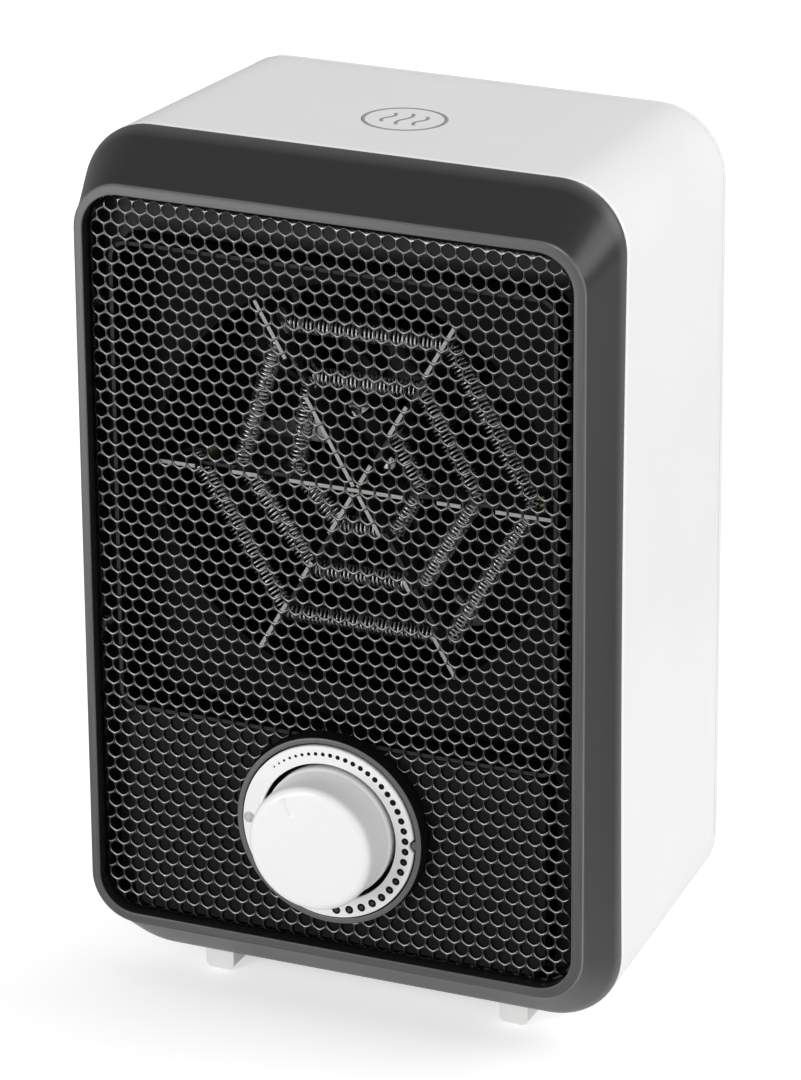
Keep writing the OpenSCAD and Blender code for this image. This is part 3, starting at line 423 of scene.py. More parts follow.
def set_materials(piece, chosen):
    """Gives each face of a piece the material with its number; True counts as 1."""
    piece.data.polygons.foreach_set("material_index", chosen.astype(np.int32))


# The bezel is near black in front of its rim and lighter from the rim back: the lighter band on the rim is
# a painted highlight.
bezel_plastic = with_front(finish("bezel plastic", (0.06, 0.06, 0.061), 0.36, 0.000008, 0.06),
                           rim_highlight_from, rim_highlight_to - rim_highlight_from, (0.014, 0.014, 0.0145), place="UV")
along_lip = {"group": brushed, "place": "UV"}
lip_finish = finish("brushed lip", (0.079, 0.079, 0.081), 0.4, 0.000008, 0.25, **along_lip)
# The lip's outer edge is a little smoother than its face and painted lighter: the lighter colour is a
# painted highlight.
lip_edge_highlight = finish("smooth lip edge, painted highlight", (0.12, 0.12, 0.122), 0.34, 0.000004, 0.15, **along_lip)
dress(bezel, bezel_plastic, lip_finish, lip_edge_highlight)
near = 0.05 * mm
centre_x, centre_y, centre_z = face_values(bezel, "center").T
facing = face_values(bezel, "normal")
on_lip = centre_y < lip_y + lip_d - near
beside_opening = (np.abs(centre_x - opening_x) < opening_half_w + near) & (
    (centre_z > opening_low - near) & (centre_z < opening_high + near))
inner_side = beside_opening & (centre_y > lip_y + lip_ease)
outwards = facing[:, 0] * centre_x + facing[:, 2] * (centre_z - shell_middle) > 0
on_edge = on_lip & outwards & (facing[:, 1] > -0.97)
set_materials(bezel, (on_lip & ~inner_side) + 1 * on_edge)
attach(bezel, "housing")
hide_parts("front_bezel")


# Main shell: a tapered tube moulded in white plastic, open at both ends. Its front edge butts against the
# bezel's rim and follows the rim's bow, and its rear edge takes the cover.
back_depth = 96 * mm
cover_depth = 93 * mm
wall = 2.4 * mm
side_draft, high_draft, low_draft = 3.5 * mm, 4 * mm, 2 * mm


def body_station(depth, inset):
    """A loop of the tapered body at a depth, drawn in by a distance."""
    f = (depth - seam_depth) / (back_depth - seam_depth)
    return station(depth, inset, shell_half_w - side_draft * f, shell_low + low_draft * f,
                   shell_high - high_draft * f, seam_r_low, seam_r_high)


shell_ease = 0.6 * mm
shell_front = seam_depth + 0.1 * mm
shell_bow_end = 40 * mm
shell_stations = np.vstack([
    body_station(shell_front, wall),
    body_station(shell_front, shell_ease),
    bend(body_station(shell_front, shell_ease), body_station(shell_front, 0),
         body_station(shell_front + shell_ease, 0), 4),
    [body_station(depth * mm, 0) for depth in (20, 24, 30, 40, 55, 70, 85)],
    bend(body_station(cover_depth - 0.5 * mm, 0), body_station(cover_depth, 0),
         body_station(cover_depth, 0.4 * mm), 3),
    body_station(cover_depth, wall),
    [body_station(depth * mm, wall) for depth in (85, 70, 55, 40, 30, 24, 20)],
])
shell_bow = np.clip((shell_bow_end - shell_stations[:, 0]) / (shell_bow_end - seam_depth), 0, 1) ** 2
shell_points = bowed(loft(shell_stations), shell_bow)
shell = surface("shell", shell_points, closed_v=True, mapped=True)
edge_at = 7
edge_length = run_length(shell_points[:, 0])[edge_at]
shell_look = ((0.86, 0.86, 0.86), 0.34, 0.00001, 0.012)
shell_plastic = finish("shell plastic", *shell_look)
# The shell's eased front edge is painted whiter than the rest: a painted highlight along the seam.
shell_with_edge_highlight = with_front(finish("shell, painted edge highlight", *shell_look),
                        edge_length - 1.2 * mm, 0.5 * mm, (0.97, 0.97, 0.97), place="UV")
dress(shell, shell_with_edge_highlight)
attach(shell, "housing")
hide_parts("main_shell")


# Rear cover: the moulded back, with rounded slots for the fan's intake and sunk seats for its four
# screws. It is the solid itself with its edges eased by a small bevel.
def merged_copy(node, name, change=None):
    """A copy of a CAD node with doubles merged and flat faces joined; change works on its BMesh."""
    mesh = nodes[node].data.copy()
    work = bmesh.new()
    work.from_mesh(mesh)
    bmesh.ops.remove_doubles(work, verts=work.verts, dist=merge_within)
    bmesh.ops.dissolve_limit(work, angle_limit=math.radians(1), verts=work.verts, edges=work.edges)
    if change:
        change(work)
    work.to_mesh(mesh)
    work.free()
    return add_object(name, mesh)


def eased_copy(node, name, width, segments=2, sharp=35):
    """A merged copy of a CAD node with its sharp edges bevelled and its normals weighted by face size."""
    piece = merged_copy(node, name)
    piece.data.shade_smooth()
    bevel = piece.modifiers.new("eased edges", "BEVEL")
    bevel.width = width
    bevel.segments = segments
    bevel.limit_method = "ANGLE"
    bevel.angle_limit = math.radians(sharp)
    bevel.use_clamp_overlap = True
    piece.modifiers.new("weighted normals", "WEIGHTED_NORMAL").keep_sharp = True
    return piece


cover = eased_copy("rear_cover", "cover", 0.35 * mm)
dress(cover, shell_plastic)
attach(cover, "housing")
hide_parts("rear_cover")


# Grille: a pan pressed from 0.6 mm steel sheet, its whole face punched with a staggered field of
# rounded six-sided holes, its edge rolled back into a wall and a flange, and enamelled black. The
# punched field sits turned by half a degree in its pan.
pan_gap = 0.4 * mm
grille_depth = 2 * mm
sheet_t = 0.6 * mm
roll_r = 2.2 * mm
hole_pitch, row_step = 4.0 * mm, 3.5 * mm
hole_half = 1.76 * mm
hole_turns = 12
field_turn = math.radians(-0.4)
field_x, field_z = -0.32 * mm, -0.41 * mm
opening_mid = (opening_low + opening_high) / 2
ring_low, ring_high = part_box("dial_ring")
dial_z = ring_low.z / 2 + ring_high.z / 2
dial_up = dial_z - opening_mid
dial_cut_r = 26 * mm
cut_roll_r = 0.5 * mm
pan_half_w = opening_half_w - pan_gap
pan_half_h = (opening_high - opening_low) / 2 - pan_gap
pan_r = opening_r - pan_gap


def within_pan(x, z):
    """Points moved to the nearest place inside the pan's outline, and their distance from it."""
    cx = np.clip(x - opening_x, pan_r - pan_half_w, pan_half_w - pan_r)
    cz = np.clip(z, pan_r - pan_half_h, pan_half_h - pan_r)
    dx, dz = x - opening_x - cx, z - cz
    reach = np.hypot(dx, dz)
    scale = np.where(reach > pan_r, pan_r / np.maximum(reach, 1e-9), 1.0)
    return cx + opening_x + dx * scale, cz + dz * scale, pan_r - reach * scale


def clear_of_dial(x, z):
    """Points pushed out of the round cut for the dial."""
    dz = z - dial_up
    reach = np.maximum(np.hypot(x, dz), 1e-9)
    scale = np.maximum(1.0, dial_cut_r / reach)
    return x * scale, dz * scale + dial_up


def turned(x, z):
    """Points of the punched field turned and shifted to where it lies on the pan."""
    return (x * math.cos(field_turn) - z * math.sin(field_turn) + field_x,
            x * math.sin(field_turn) + z * math.cos(field_turn) + field_z)


def rolled_back(radius, from_edge):
    """How far a sheet falls back within a radius r of its edge: r - sqrt(r^2 - (r - d)^2), d from it."""
    into = np.clip(radius - from_edge, 0, radius)
    return radius - np.sqrt(radius ** 2 - into ** 2)


def on_sheet(x, z, depth):
    """Points of the punched field on the pan: turned, kept inside, clear of the dial and rolled back."""
    px, pz, from_outline = within_pan(*clear_of_dial(*turned(x, z)))
    from_cut = np.hypot(px, pz - dial_up) - dial_cut_r
    fall = np.maximum(rolled_back(roll_r, from_outline), rolled_back(cut_roll_r, from_cut))
    return np.stack([px, lip_y + grille_depth + depth + fall, pz + opening_mid], axis=-1)


def cell_grid():
    """Centres of the cells that touch the pan, and which are punched: those well inside.

    Rows are a step apart and odd rows are shifted half a pitch.
    """
    rows, columns = np.arange(-30, 30), np.arange(-18, 19)
    j, i = np.meshgrid(rows, columns, indexing="ij")
    x = (i + ((j - 27) % 2) / 2) * hole_pitch
    z = (j + 0.5) * row_step
    placed_x, placed_z = turned(x, z)
    reach_x, reach_z, inside = within_pan(placed_x, placed_z)
    from_dial = np.hypot(placed_x, placed_z - dial_up) - dial_cut_r
    cell_reach = hole_pitch * 0.6
    keep = (np.hypot(placed_x - reach_x, placed_z - reach_z) < cell_reach) & (from_dial > -cell_reach)
    punched = (inside > 0.1 * mm) & (from_dial > -0.5 * mm)
    return x[keep], z[keep], punched[keep]


def around(turns):
    """Angles evenly round a full turn, its end left out."""
    return np.linspace(0, 2 * np.pi, turns, endpoint=False)


def hole_rings(x, z, punched):
    """Rings of points (cells, rings, turns, 3): each cell's edge, its hole's edge and wall, its edge.

    The hole is a rounded hexagon of radius hole_half * (1.035 + 0.035 cos 6a). The cell is the zone
    nearer to it than to its neighbours. A cell that is not punched has its hole closed to a point.
    """
    t = around(hole_turns) + np.pi / 2
    hole = hole_half * (1.035 + 0.035 * np.cos(6 * (t - np.pi / 2)))
    half_step, slant = row_step / 2, (hole_pitch / 2) ** 2 / (2 * row_step)
    side_corner, top_corner = half_step - slant, half_step + slant
    corner_x = hole_pitch / 2 * np.array([0, -1, -1, 0, 1, 1])
    corner_z = np.array([top_corner, side_corner, -side_corner, -top_corner, -side_corner, side_corner])
    edge_x, edge_z = (np.stack([corner, (corner + np.roll(corner, -1)) / 2], axis=1).ravel()
                      for corner in (corner_x, corner_z))
    ease = 0.21 * mm
    open_or_shut = np.where(punched, 1.0, 0.0005)[:, None]
    rings = [(edge_x, edge_z, 0.0, 1.0)]
    rings += [((hole + grow) * np.cos(t), (hole + grow) * np.sin(t), depth, open_or_shut)
              for grow, depth in ((ease, 0.012 * mm), (0.3 * ease, 0.34 * ease), (0, ease), (0, sheet_t))]
    rings += [(edge_x, edge_z, sheet_t, 1.0)]
    return np.stack([on_sheet(x[:, None] + rx * share, z[:, None] + rz * share, depth)
                     for rx, rz, depth, share in rings], axis=1)


def ringed(name, rings, sharp=30):
    """A mesh object from rings (cells, rings, turns, 3): bands of quads from ring to ring of each cell."""
    cells, ring_count, turns = rings.shape[:3]
    base = (np.arange(cells) * ring_count * turns)[:, None, None]
    ring = (np.arange(ring_count - 1) * turns)[None, :, None]
    step = np.arange(turns)[None, None, :]
    next_step = (step + 1) % turns
    bands = np.stack([base + ring + step, base + ring + next_step,
                      base + ring + turns + next_step, base + ring + turns + step], axis=-1)
    return mesh_object(name, rings.reshape(-1, 3), bands.reshape(-1, 4), sharp)


cells = np.stack(cell_grid())
cell_is_up = cells[1] > 0
grille_upper = ringed("grille_upper", hole_rings(*cells[:, cell_is_up]), sharp=60)
grille_lower = ringed("grille_lower", hole_rings(*cells[:, ~cell_is_up]), sharp=60)
rim_start = grille_depth + roll_r - 0.1 * mm
flange_w, flange_back = 2 * mm, 11 * mm
grille_rim = surface("grille_rim", loft(np.vstack([
    opening_station(depth, grow - pan_gap) for depth, grow in (
        (rim_start, 0), (inner_wall_end, 0), (inner_wall_end, flange_w),
        (flange_back, flange_w), (flange_back, -sheet_t), (rim_start, -sheet_t))
])) + np.array([opening_x, 0, 0]), closed_v=True)


# How far a face is turned up: 0 up to a small slope, then rising to 1.
upward, upward_in, upward_out = node_group("turned up", "Normal", {"From": 0.1, "Gain": 3.0}, ["Mask"])
raised = math_node(upward, "SUBTRACT", part_of(upward, upward_in.outputs["Normal"], "Z"),
                   upward_in.outputs["From"])
gained = math_node(upward, "MULTIPLY", raised, upward_in.outputs["Gain"], clamp=True)
upward.links.new(gained, upward_out.inputs["Mask"])

enamel = finish("black enamel", (0.006, 0.006, 0.007), 0.26, 0.000004, 0.1, IOR=1.5)
enamel_tree = enamel.node_tree
enamel_place = enamel_tree.nodes.new("ShaderNodeTexCoord")
# Hole rims that face up, at the sheet's front, are painted grey and partly metallic: a painted highlight
# where the lamps catch their lower edges.
up_facing = group_node(enamel_tree, upward, enamel_place.outputs["Normal"])
at_front = group_node(enamel_tree, front_face, enamel_place.outputs["Object"],
                      Depth=lip_y + grille_depth + 0.16 * mm, Blend=0.14 * mm)
hole_rim_highlight = math_node(enamel_tree, "MULTIPLY", up_facing.outputs["Mask"], at_front.outputs["Mask"])
recolor(enamel, hole_rim_highlight, (0.5, 0.5, 0.51))
feed(enamel_tree, enamel_tree.nodes["Principled BSDF"].inputs["Metallic"],
     math_node(enamel_tree, "MULTIPLY", hole_rim_highlight, 0.4))
for piece in (grille_upper, grille_lower, grille_rim):
    dress(piece, enamel)
    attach(piece, "housing")
    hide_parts("front_grille")


# Dial surround: a dark grey moulded ring that stands through the grille and carries the dial's plate on a
# ledge. Its outer wall, and its walls and ledge under the plate, are painted near black as painted shade. A
# small key at its right side stops the plate from turning.
ring_r = (ring_high.x - ring_low.x) / 2
ring_wall, ledge_w = 1.7 * mm, 1.8 * mm
plate_seat_r = ring_r - ring_wall


def turned_grid(r, depth, turns, x=0.0, z=dial_z):
    """A profile turned about an axis along Y (profile, turns, 3): (x + r cos t, depth, z + r sin t).

    Each profile point has one radius, or one for each angle.
    """
    t = around(turns)
    r, depth = (v.reshape(len(v), -1) for v in (np.asarray(r, float), np.asarray(depth, float)))
    return np.stack(np.broadcast_arrays(x + r * np.cos(t), lip_y + depth, z + r * np.sin(t)), axis=-1)


def rounding(r, depth, radius, start, end, steps=6):
    """Profile points on an arc about (r, depth), in degrees from start to end: 0 outwards, 90 front."""
    t = np.radians(np.linspace(start, end, steps + 1))
    return np.stack([r + radius * np.cos(t), depth - radius * np.sin(t)], axis=-1)


ring_front, ring_back = -2 * mm, 2.8 * mm
plate_back = -1.4 * mm
ring_profile = np.vstack([
    [[ring_r, ring_back]],
    rounding(ring_r - 0.5 * mm, ring_front + 0.5 * mm, 0.5 * mm, 0, 90),
    rounding(plate_seat_r + 0.4 * mm, ring_front + 0.4 * mm, 0.4 * mm, 90, 180),
    [[plate_seat_r, plate_back]],
    [[plate_seat_r - ledge_w, plate_back]],
    [[plate_seat_r - ledge_w, ring_back]],
])
dial_surround = surface("dial_surround", turned_grid(*ring_profile.T, 128), closed_v=True)
key_profile = np.array([[0, -1.95], [1.0, -1.95], [1.25, -1.7], [1.25, -1.4]]) * mm
dial_key = surface("dial_key", turned_grid(*key_profile.T, 24, x=plate_seat_r))
ring_plastic = finish("dial ring plastic", (0.11, 0.11, 0.111), 0.34, 0.000008, 0.05)
# Near-black painted shade for the ring's outer wall and for the walls and ledge under the plate.
ring_wall_shade = finish("ring wall, painted shade", (0.005, 0.005, 0.005), 0.6, 0.000008, 0.1,
                         Specular_IOR_Level=0.1)
for piece in (dial_surround, dial_key):
    dress(piece, ring_plastic, ring_wall_shade)
    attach(piece, "housing")
centre_x, _, centre_z = face_values(dial_surround, "center").T
from_axis = np.hypot(centre_x, centre_z - dial_z)
set_materials(dial_surround, (from_axis > ring_r - 0.12 * mm) | (from_axis < plate_seat_r + 0.12 * mm))
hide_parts("dial_ring")


# Dial plate: a flat white ring dropped into the surround, with a notch for the key. The scale is
# printed on it in black: dots that grow clockwise round the knob, and a grey mark at the left where
# the heater is off.
plate_r = plate_seat_r - 0.35 * mm
plate_bore = 19 * mm
plate_front = plate_back - 1.2 * mm
plate_under = plate_back - 0.02 * mm
edge_ease, bore_ease = 0.2 * mm, 0.12 * mm
notch_r = 1.6 * mm
plate_turns = 240
off_key = np.abs(np.arctan2(np.sin(around(plate_turns)), np.cos(around(plate_turns))))
notch = np.sqrt(np.maximum(notch_r ** 2 - (plate_seat_r * np.sin(off_key)) ** 2, 0))
notched_r = np.minimum(plate_r, plate_seat_r * np.cos(off_key) - notch)
plate_edge = np.where((off_key < 0.2) & (notch > 0), notched_r, plate_r)
bore_edge = np.full(plate_turns, plate_bore)
plate_r_grid, plate_depth = zip(
    (plate_edge, plate_under), (plate_edge, plate_front + edge_ease), (plate_edge - edge_ease, plate_front),
    (bore_edge + bore_ease, plate_front), (bore_edge, plate_front + bore_ease), (bore_edge, plate_under))
plate = surface("plate", turned_grid(plate_r_grid, plate_depth, plate_turns), closed_v=True)
knob_plastic = finish("knob plastic", (0.9, 0.9, 0.9), 0.3, 0.000006, 0.01)
dress(plate, knob_plastic)
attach(plate, "housing")
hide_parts("dial_plate")

dot = np.arange(33)
dot_turn = np.radians(90 - (-42.9 + 4.7 * dot + 0.03 * dot ** 2 + 0.0011 * dot ** 3))
dot_r = (0.25 + 0.04 * dot - 0.00037 * dot ** 2) * mm
scale_r = 21.7 * mm
hearts_from = 20


def printed_discs(name, x, z, radius, proud=0.012 * mm, steps=24):
    """Flat printed discs just proud of the plate, one for each centre."""
    a = around(steps)
    x, z, radius = (np.atleast_1d(np.asarray(v, float))[:, None] for v in (x, z, radius))
    level = np.full((len(x), steps), lip_y + plate_front - proud)
    return ringed(name, np.stack([np.stack([x + r * np.cos(a), level, z + r * np.sin(a)], axis=-1)
                                  for r in (radius, 0.001 * radius)], axis=1))


dot_x, dot_z = scale_r * np.cos(dot_turn), dial_z + scale_r * np.sin(dot_turn)
dots = printed_discs("dial_dots", dot_x, dot_z, dot_r)
heart_r = (dot_r * (0.2 + 0.025 * (dot - hearts_from)))[hearts_from:]
dot_hearts = printed_discs("dial_dot_hearts", dot_x[hearts_from:], dot_z[hearts_from:], heart_r,
                           proud=0.034 * mm)
off_mark = printed_discs("dial_off_mark", [-22.1 * mm], [dial_z + 0.4 * mm], [1.5 * mm])
scale_ink = finish("scale ink", (0.006, 0.006, 0.006), 0.6, Specular_IOR_Level=0.1)
heart_ink = finish("grey ink", (0.06, 0.06, 0.06), 0.6, Specular_IOR_Level=0.1)
off_ink = finish("off mark ink", (0.5, 0.5, 0.5), 0.4, spread=0.15)


def printed(piece, ink):
    """Gives a flat piece its ink and the thickness of a printed film."""
    film = piece.modifiers.new("ink film", "SOLIDIFY")
    film.thickness = 0.02 * mm
    film.offset = 0
    dress(piece, ink)


for piece, ink in ((dots, scale_ink), (dot_hearts, heart_ink), (off_mark, off_ink)):
    printed(piece, ink)
    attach(piece, "housing")


# Knob: a hollow moulded cap in the plate's white plastic. Its face has a soft edge and a fine engraved
# line as pointer. Its side is a little rougher, is painted a little darker as painted shade, and flares out
# at the foot, which turns in the plate's bore.
knob_low, knob_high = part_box("control_knob")
knob_r = (knob_high.x - knob_low.x) / 2
knob_face_r = 17.1 * mm
knob_front = knob_low.y - lip_y
knob_edge = 2.2 * mm
knob_foot = 0.8 * mm
hollow_r = 14.8 * mm
hollow_front = knob_front + 1.8 * mm
pointer_turn = math.radians(-26.5)
pointer_from, pointer_to, pointer_fade = 9.6 * mm, 15.2 * mm, 0.5 * mm
groove_d, groove_half_w = 0.5 * mm, 1 * mm
flared_r = knob_r + 0.2 * mm
knob_outer = np.vstack([
    [[13 * mm, knob_foot], [knob_r, knob_foot]],
    [[flared_r, 0.5 * mm], [flared_r, -2.75 * mm], [flared_r - 0.1 * mm, -2.95 * mm]],
    [[knob_r - 0.15 * mm, -3.45 * mm], [knob_r - 0.25 * mm, -3.8 * mm]],
    rounding(knob_face_r - knob_edge, knob_front + knob_edge, knob_edge, 0, 90, 10),
    [[r * mm, knob_front] for r in np.linspace(14.4, 0.2, 60)],
    [[0, knob_front]],
])
knob_inner = [[0, hollow_front], [hollow_r, hollow_front], [hollow_r, knob_foot]]
knob_profile = np.vstack([knob_outer, knob_inner])
knob_x = knob_profile[:, :1] * np.sin(around(160))
knob_z = knob_profile[:, :1] * np.cos(around(160))
along = knob_x * math.sin(pointer_turn) + knob_z * math.cos(pointer_turn)
beside = knob_x * math.cos(pointer_turn) - knob_z * math.sin(pointer_turn)
on_face = np.arange(len(knob_profile))[:, None] < len(knob_outer)
begun = np.clip((along - pointer_from) / pointer_fade, 0, 1)
reach = begun * np.clip((pointer_to - along) / pointer_fade, 0, 1)
groove = groove_d * np.clip(1 - np.abs(beside) / groove_half_w, 0, 1) * reach * on_face
knob = surface("knob", np.stack([
    knob_x, lip_y + knob_profile[:, 1:2] + groove, dial_z + knob_z], axis=-1), closed_v=True)
# The side is rougher than the face and painted darker: the darker colour is painted shade.
knob_side_shade = finish("knob side, painted shade", (0.83, 0.83, 0.83), 0.42, 0.00001, 0.012)
dress(knob, knob_plastic, knob_side_shade)
centre_x, centre_y, centre_z = face_values(knob, "center").T
beyond = np.hypot(centre_x, centre_z - dial_z) > knob_face_r - 0.45 * mm
set_materials(knob, beyond & (centre_y > lip_y + knob_front + 0.9 * mm) & (centre_y < lip_y - 3.5 * mm))
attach(knob, "knob")
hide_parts("control_knob")


# Sheet-metal parts: the air duct with its round plate and tube, blackened inside and out, and the
# motor's brackets, its bridge and the thermal cutout's cap, pressed from zinc-plated sheet with fine
# rolling lines.
def dress_nodes(material, *names):
    """Gives CAD nodes a material."""
    for name in names:
        dress(nodes[name], material)


rolled, place, scale, results = skin_group("rolled sheet", "Line Scale", 1400.0)
spangle = texture_node(rolled, "ShaderNodeTexVoronoi", place, 160.0)
results(noise_node(rolled, drawn_out(rolled, place, 0.04), scale),
        math_node(rolled, "FRACT", spangle.outputs["Color"]))

plated = finish("zinc plate", (0.5, 0.5, 0.51), 0.38, 0.000006, 0.07, group=rolled, Metallic=1.0)
dress_nodes(plated, "motor_bracket_front", "motor_bracket_rear", "motor_bridge", "thermal_cutout")
blackened = finish("blackened sheet", (0.004, 0.004, 0.004), 0.6, 0.000006, 0.1, group=rolled,
                   Specular_IOR_Level=0.1)
# The duct's front edge is painted lighter grey: a painted highlight for glints on its mouth.
with_front(blackened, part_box("air_duct")[0].y + 0.12 * mm, 0.2 * mm, (0.03, 0.03, 0.03))
dress_nodes(blackened, "air_duct")


# Control panel, fan and inner frame: black parts straight behind the lower grille, behind the element
# and round both. The panel and the fan are moulded; the frame that carries them is a sheet with a
# black coat.
black_plastic = finish("black plastic", (0.006, 0.006, 0.0065), 0.55, 0.00001, 0.1,
                       Specular_IOR_Level=0.1)
dress_nodes(black_plastic, "control_panel", "fan_impeller")
frame_coat = finish("frame plastic", (0.01, 0.01, 0.01), 0.5, 0.00001, 0.1, Specular_IOR_Level=0.3)
dress_nodes(frame_coat, "inner_frame")


# Mica boards: three crossed strips cut from pressed mica sheet, halved into each other, with holes
# that carry the wire. Each front edge is cut back between the turns of the coil; the flakes give a
# mottled, pearly face.
def cell_skin(name, label, value):
    """A skin of small cells: a cell's Height falls to its middle and its Mottle is its own number."""
    group, place, scale, results = skin_group(name, label, value)
    cell = texture_node(group, "ShaderNodeTexVoronoi", place, scale)
    results(cell.outputs["Distance"], math_node(group, "FRACT", cell.outputs["Color"]))
    return group


flakes = cell_skin("mica flakes", "Flake Scale", 420.0)
mica = finish("pressed mica", (0.02, 0.019, 0.017), 0.45, 0.00001, 0.25, group=flakes,
              Specular_IOR_Level=0.3)
# Faces near black, front edges pale: partly the board's dark face and paler cut edge, partly painted shade
# on the faces and a painted highlight on the edges.
with_front(mica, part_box("mica_board_level")[0].y + 0.02 * mm, 0.08 * mm, (0.56, 0.55, 0.52))
fan_z = 144 * mm
cut_back, cut_slope = 3 * mm, 0.15 * mm


def notch(work, turn, cuts):
    """Cuts back the front edge of a board that lies at an angle, in degrees, about the fan's axis.

    Each cut runs from one distance along the board to another, in millimetres from the axis.
    """
    along = Vector((math.cos(math.radians(turn)), 0, math.sin(math.radians(turn))))
    axis = Vector((0, 0, fan_z))
    cuts = np.array(cuts) * mm
    for start, end in cuts:
        for reach in (start, start + cut_slope, end - cut_slope, end):
            bmesh.ops.bisect_plane(work, geom=work.verts[:] + work.edges[:] + work.faces[:], dist=1e-6,
                                   plane_co=axis + along * float(reach), plane_no=along)
    front = min(vert.co.y for vert in work.verts)
    for vert in work.verts:
        reach = (vert.co - axis).dot(along)
        in_cut = any(start + 0.5 * cut_slope < reach < end - 0.5 * cut_slope for start, end in cuts)
        if vert.co.y < front + 0.01 * mm and in_cut:
            vert.co.y += cut_back


for node, name, turn, cuts in (
        ("mica_board_level", "board_level", 0, [(-45, -34.5), (-27.5, -18.5), (13.5, 22.5), (29, 38.5)]),
        ("mica_board_left", "board_left", 120, [(-42, -29.5), (-26, -13.5), (27.5, 38)]),
        ("mica_board_right", "board_right", 60, [(-39.5, -31.5), (-25, -15), (8.5, 18), (28.5, 38)])):
    board = merged_copy(node, name, lambda work: notch(work, turn, cuts))
    dress(board, mica)
    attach(board, "housing")
    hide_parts(node)


# Heating coil: half-millimetre resistance wire wound into a close helix and strung from board to board
# in a six-sided spiral. The solid is only its envelope; this is the wire itself.
coil_low, coil_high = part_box("heating_coil")
coil_y = (coil_low.y + coil_high.y) / 2
coil_r, coil_step, coil_lead = 46 * mm, 15.5 * mm, 5 * mm
wire_r = 0.26 * mm
wound_r = 2.25 * mm
turn_pitch = 1.15 * mm


def directions(line, step=np.diff):
    """Unit vectors along a line: from point to point, or at each point where the step is np.gradient."""
    way = step(line, axis=0)
    return way / np.linalg.norm(way, axis=1, keepdims=True)


def strung_path(count=17, per_mm=13.2, ease=1.6 * mm):
    """The coil's centre line in X and Z and the length along it, at even steps.

    Crossings lie a sixth of a turn apart, a step inwards after each full turn. A turn's first crossing
    lies coil_lead farther out, half as much on the outermost turn. The way between them is straight,
    with each corner replaced by a quadratic curve over ease on both sides.
    """
    k = np.arange(count)
    angle = np.pi + k * np.pi / 3
    r = coil_r - coil_step * (k // 6) + np.where(k % 6 == 0, np.where(k > 0, 1.0, 0.5), 0.0) * coil_lead
    crossing = np.stack([r * np.cos(angle), r * np.sin(angle)], axis=-1)
    way = directions(crossing)
    points = [crossing[:1]]
    for here, arriving, leaving in zip(crossing[1:-1], way[:-1], way[1:]):
        points.append(bend(here - arriving * ease, here, here + leaving * ease, 6))
    points.append(crossing[-1:])
    path = np.vstack(points)
    length = run_length(path)
    even = np.linspace(0, length[-1], int(length[-1] / mm * per_mm))
    return np.stack([np.interp(even, length, line) for line in path.T], axis=-1), even


def tube(centre, radius, sides):
    """A tube round a path (points, 3): centre + r (cos a * side + sin a * up) at each point."""
    way = directions(centre, np.gradient)
    side = np.cross(way, (0.0, 1.0, 0.0))
    side /= np.maximum(np.linalg.norm(side, axis=1, keepdims=True), 1e-9)
    up = np.cross(side, way)
    a = around(sides)[None, :, None]
    return centre[:, None] + radius * (np.cos(a) * side[:, None] + np.sin(a) * up[:, None])


path, run = strung_path()
way = directions(path, np.gradient)
phase = 2 * np.pi * run / turn_pitch
wire = np.stack([
    path[:, 0] + wound_r * np.cos(phase) * way[:, 1],
    coil_y + wound_r * np.sin(phase),
    fan_z + path[:, 1] - wound_r * np.cos(phase) * way[:, 0]], axis=-1)
coil = surface("coil", tube(wire, wire_r, 5), sharp=80)
coil_wire = finish("resistance wire", (0.74, 0.73, 0.72), 0.3, 0.0, 0.08, group=rolled, Metallic=1.0)
dress(coil, coil_wire)
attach(coil, "housing")
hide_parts("heating_coil")


# Small metal and ceramic parts: eyelets and bushes in brass, the fuse's sleeve, bright screws, nut and
# shafts.
brass = finish("brass", (0.72, 0.56, 0.28), 0.3, 0.000004, 0.06, group=rolled, Metallic=1.0)
dress_nodes(brass, "coil_terminals", "motor_bushes")
dress_nodes(finish("fuse sleeve", (0.8, 0.77, 0.7), 0.5, 0.00001, 0.05), "thermal_fuse")
bright_steel = finish("bright steel", (0.62, 0.62, 0.64), 0.25, 0.000004, 0.06, group=rolled,
                      Metallic=1.0)
dress_nodes(bright_steel, "knob_shaft", "thermostat_nut", "motor_shaft", "motor_rotor", "motor_screws",
            "bridge_screws", "duct_screws", "frame_screws", "cover_screws", "foot_screws")


# Motor and electrical blocks: a stack of pressed laminations with a taped winding on a bobbin, and the
# thermostat's and the terminals' bodies, moulded in pale heat-proof plastic.
laminations, place, scale, results = skin_group("laminations", "Plates Per Metre", 2000.0)
plates = math_node(laminations, "MULTIPLY", part_of(laminations, place, "Y"), scale)
results(math_node(laminations, "PINGPONG", plates, 1.0), noise_node(laminations, place, 220.0))
stack_steel = finish("lamination steel", (0.3, 0.3, 0.31), 0.45, 0.0001, 0.15, group=laminations,
                     Metallic=1.0)
dress_nodes(stack_steel, "motor_stator")
winding_tape = finish("winding tape", (0.55, 0.4, 0.2), 0.5, 0.00006, 0.1, group=laminations,
                      values={"Plates_Per_Metre": 700.0})
dress_nodes(winding_tape, "motor_coil")
dress_nodes(finish("pale moulding", (0.72, 0.68, 0.58), 0.5, 0.00001, 0.05),
            "thermostat_body", "terminal_block")


# Cord bush and feet: moulded rubber, black round the cord in the rear cover and milky white under the
# shell's front and rear.
dress_nodes(finish("black rubber", (0.03, 0.03, 0.03), 0.7, 0.00002, 0.1), "cord_bush")
milky_rubber = finish("milky rubber", (0.93, 0.93, 0.92), 0.45, 0.00002, 0.02)
for node, name in (("front_feet", "feet_front"), ("rear_feet", "feet_rear")):
    feet = eased_copy(node, name, 0.4 * mm, 3)
    dress(feet, milky_rubber)
    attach(feet, "housing")
    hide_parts(node)
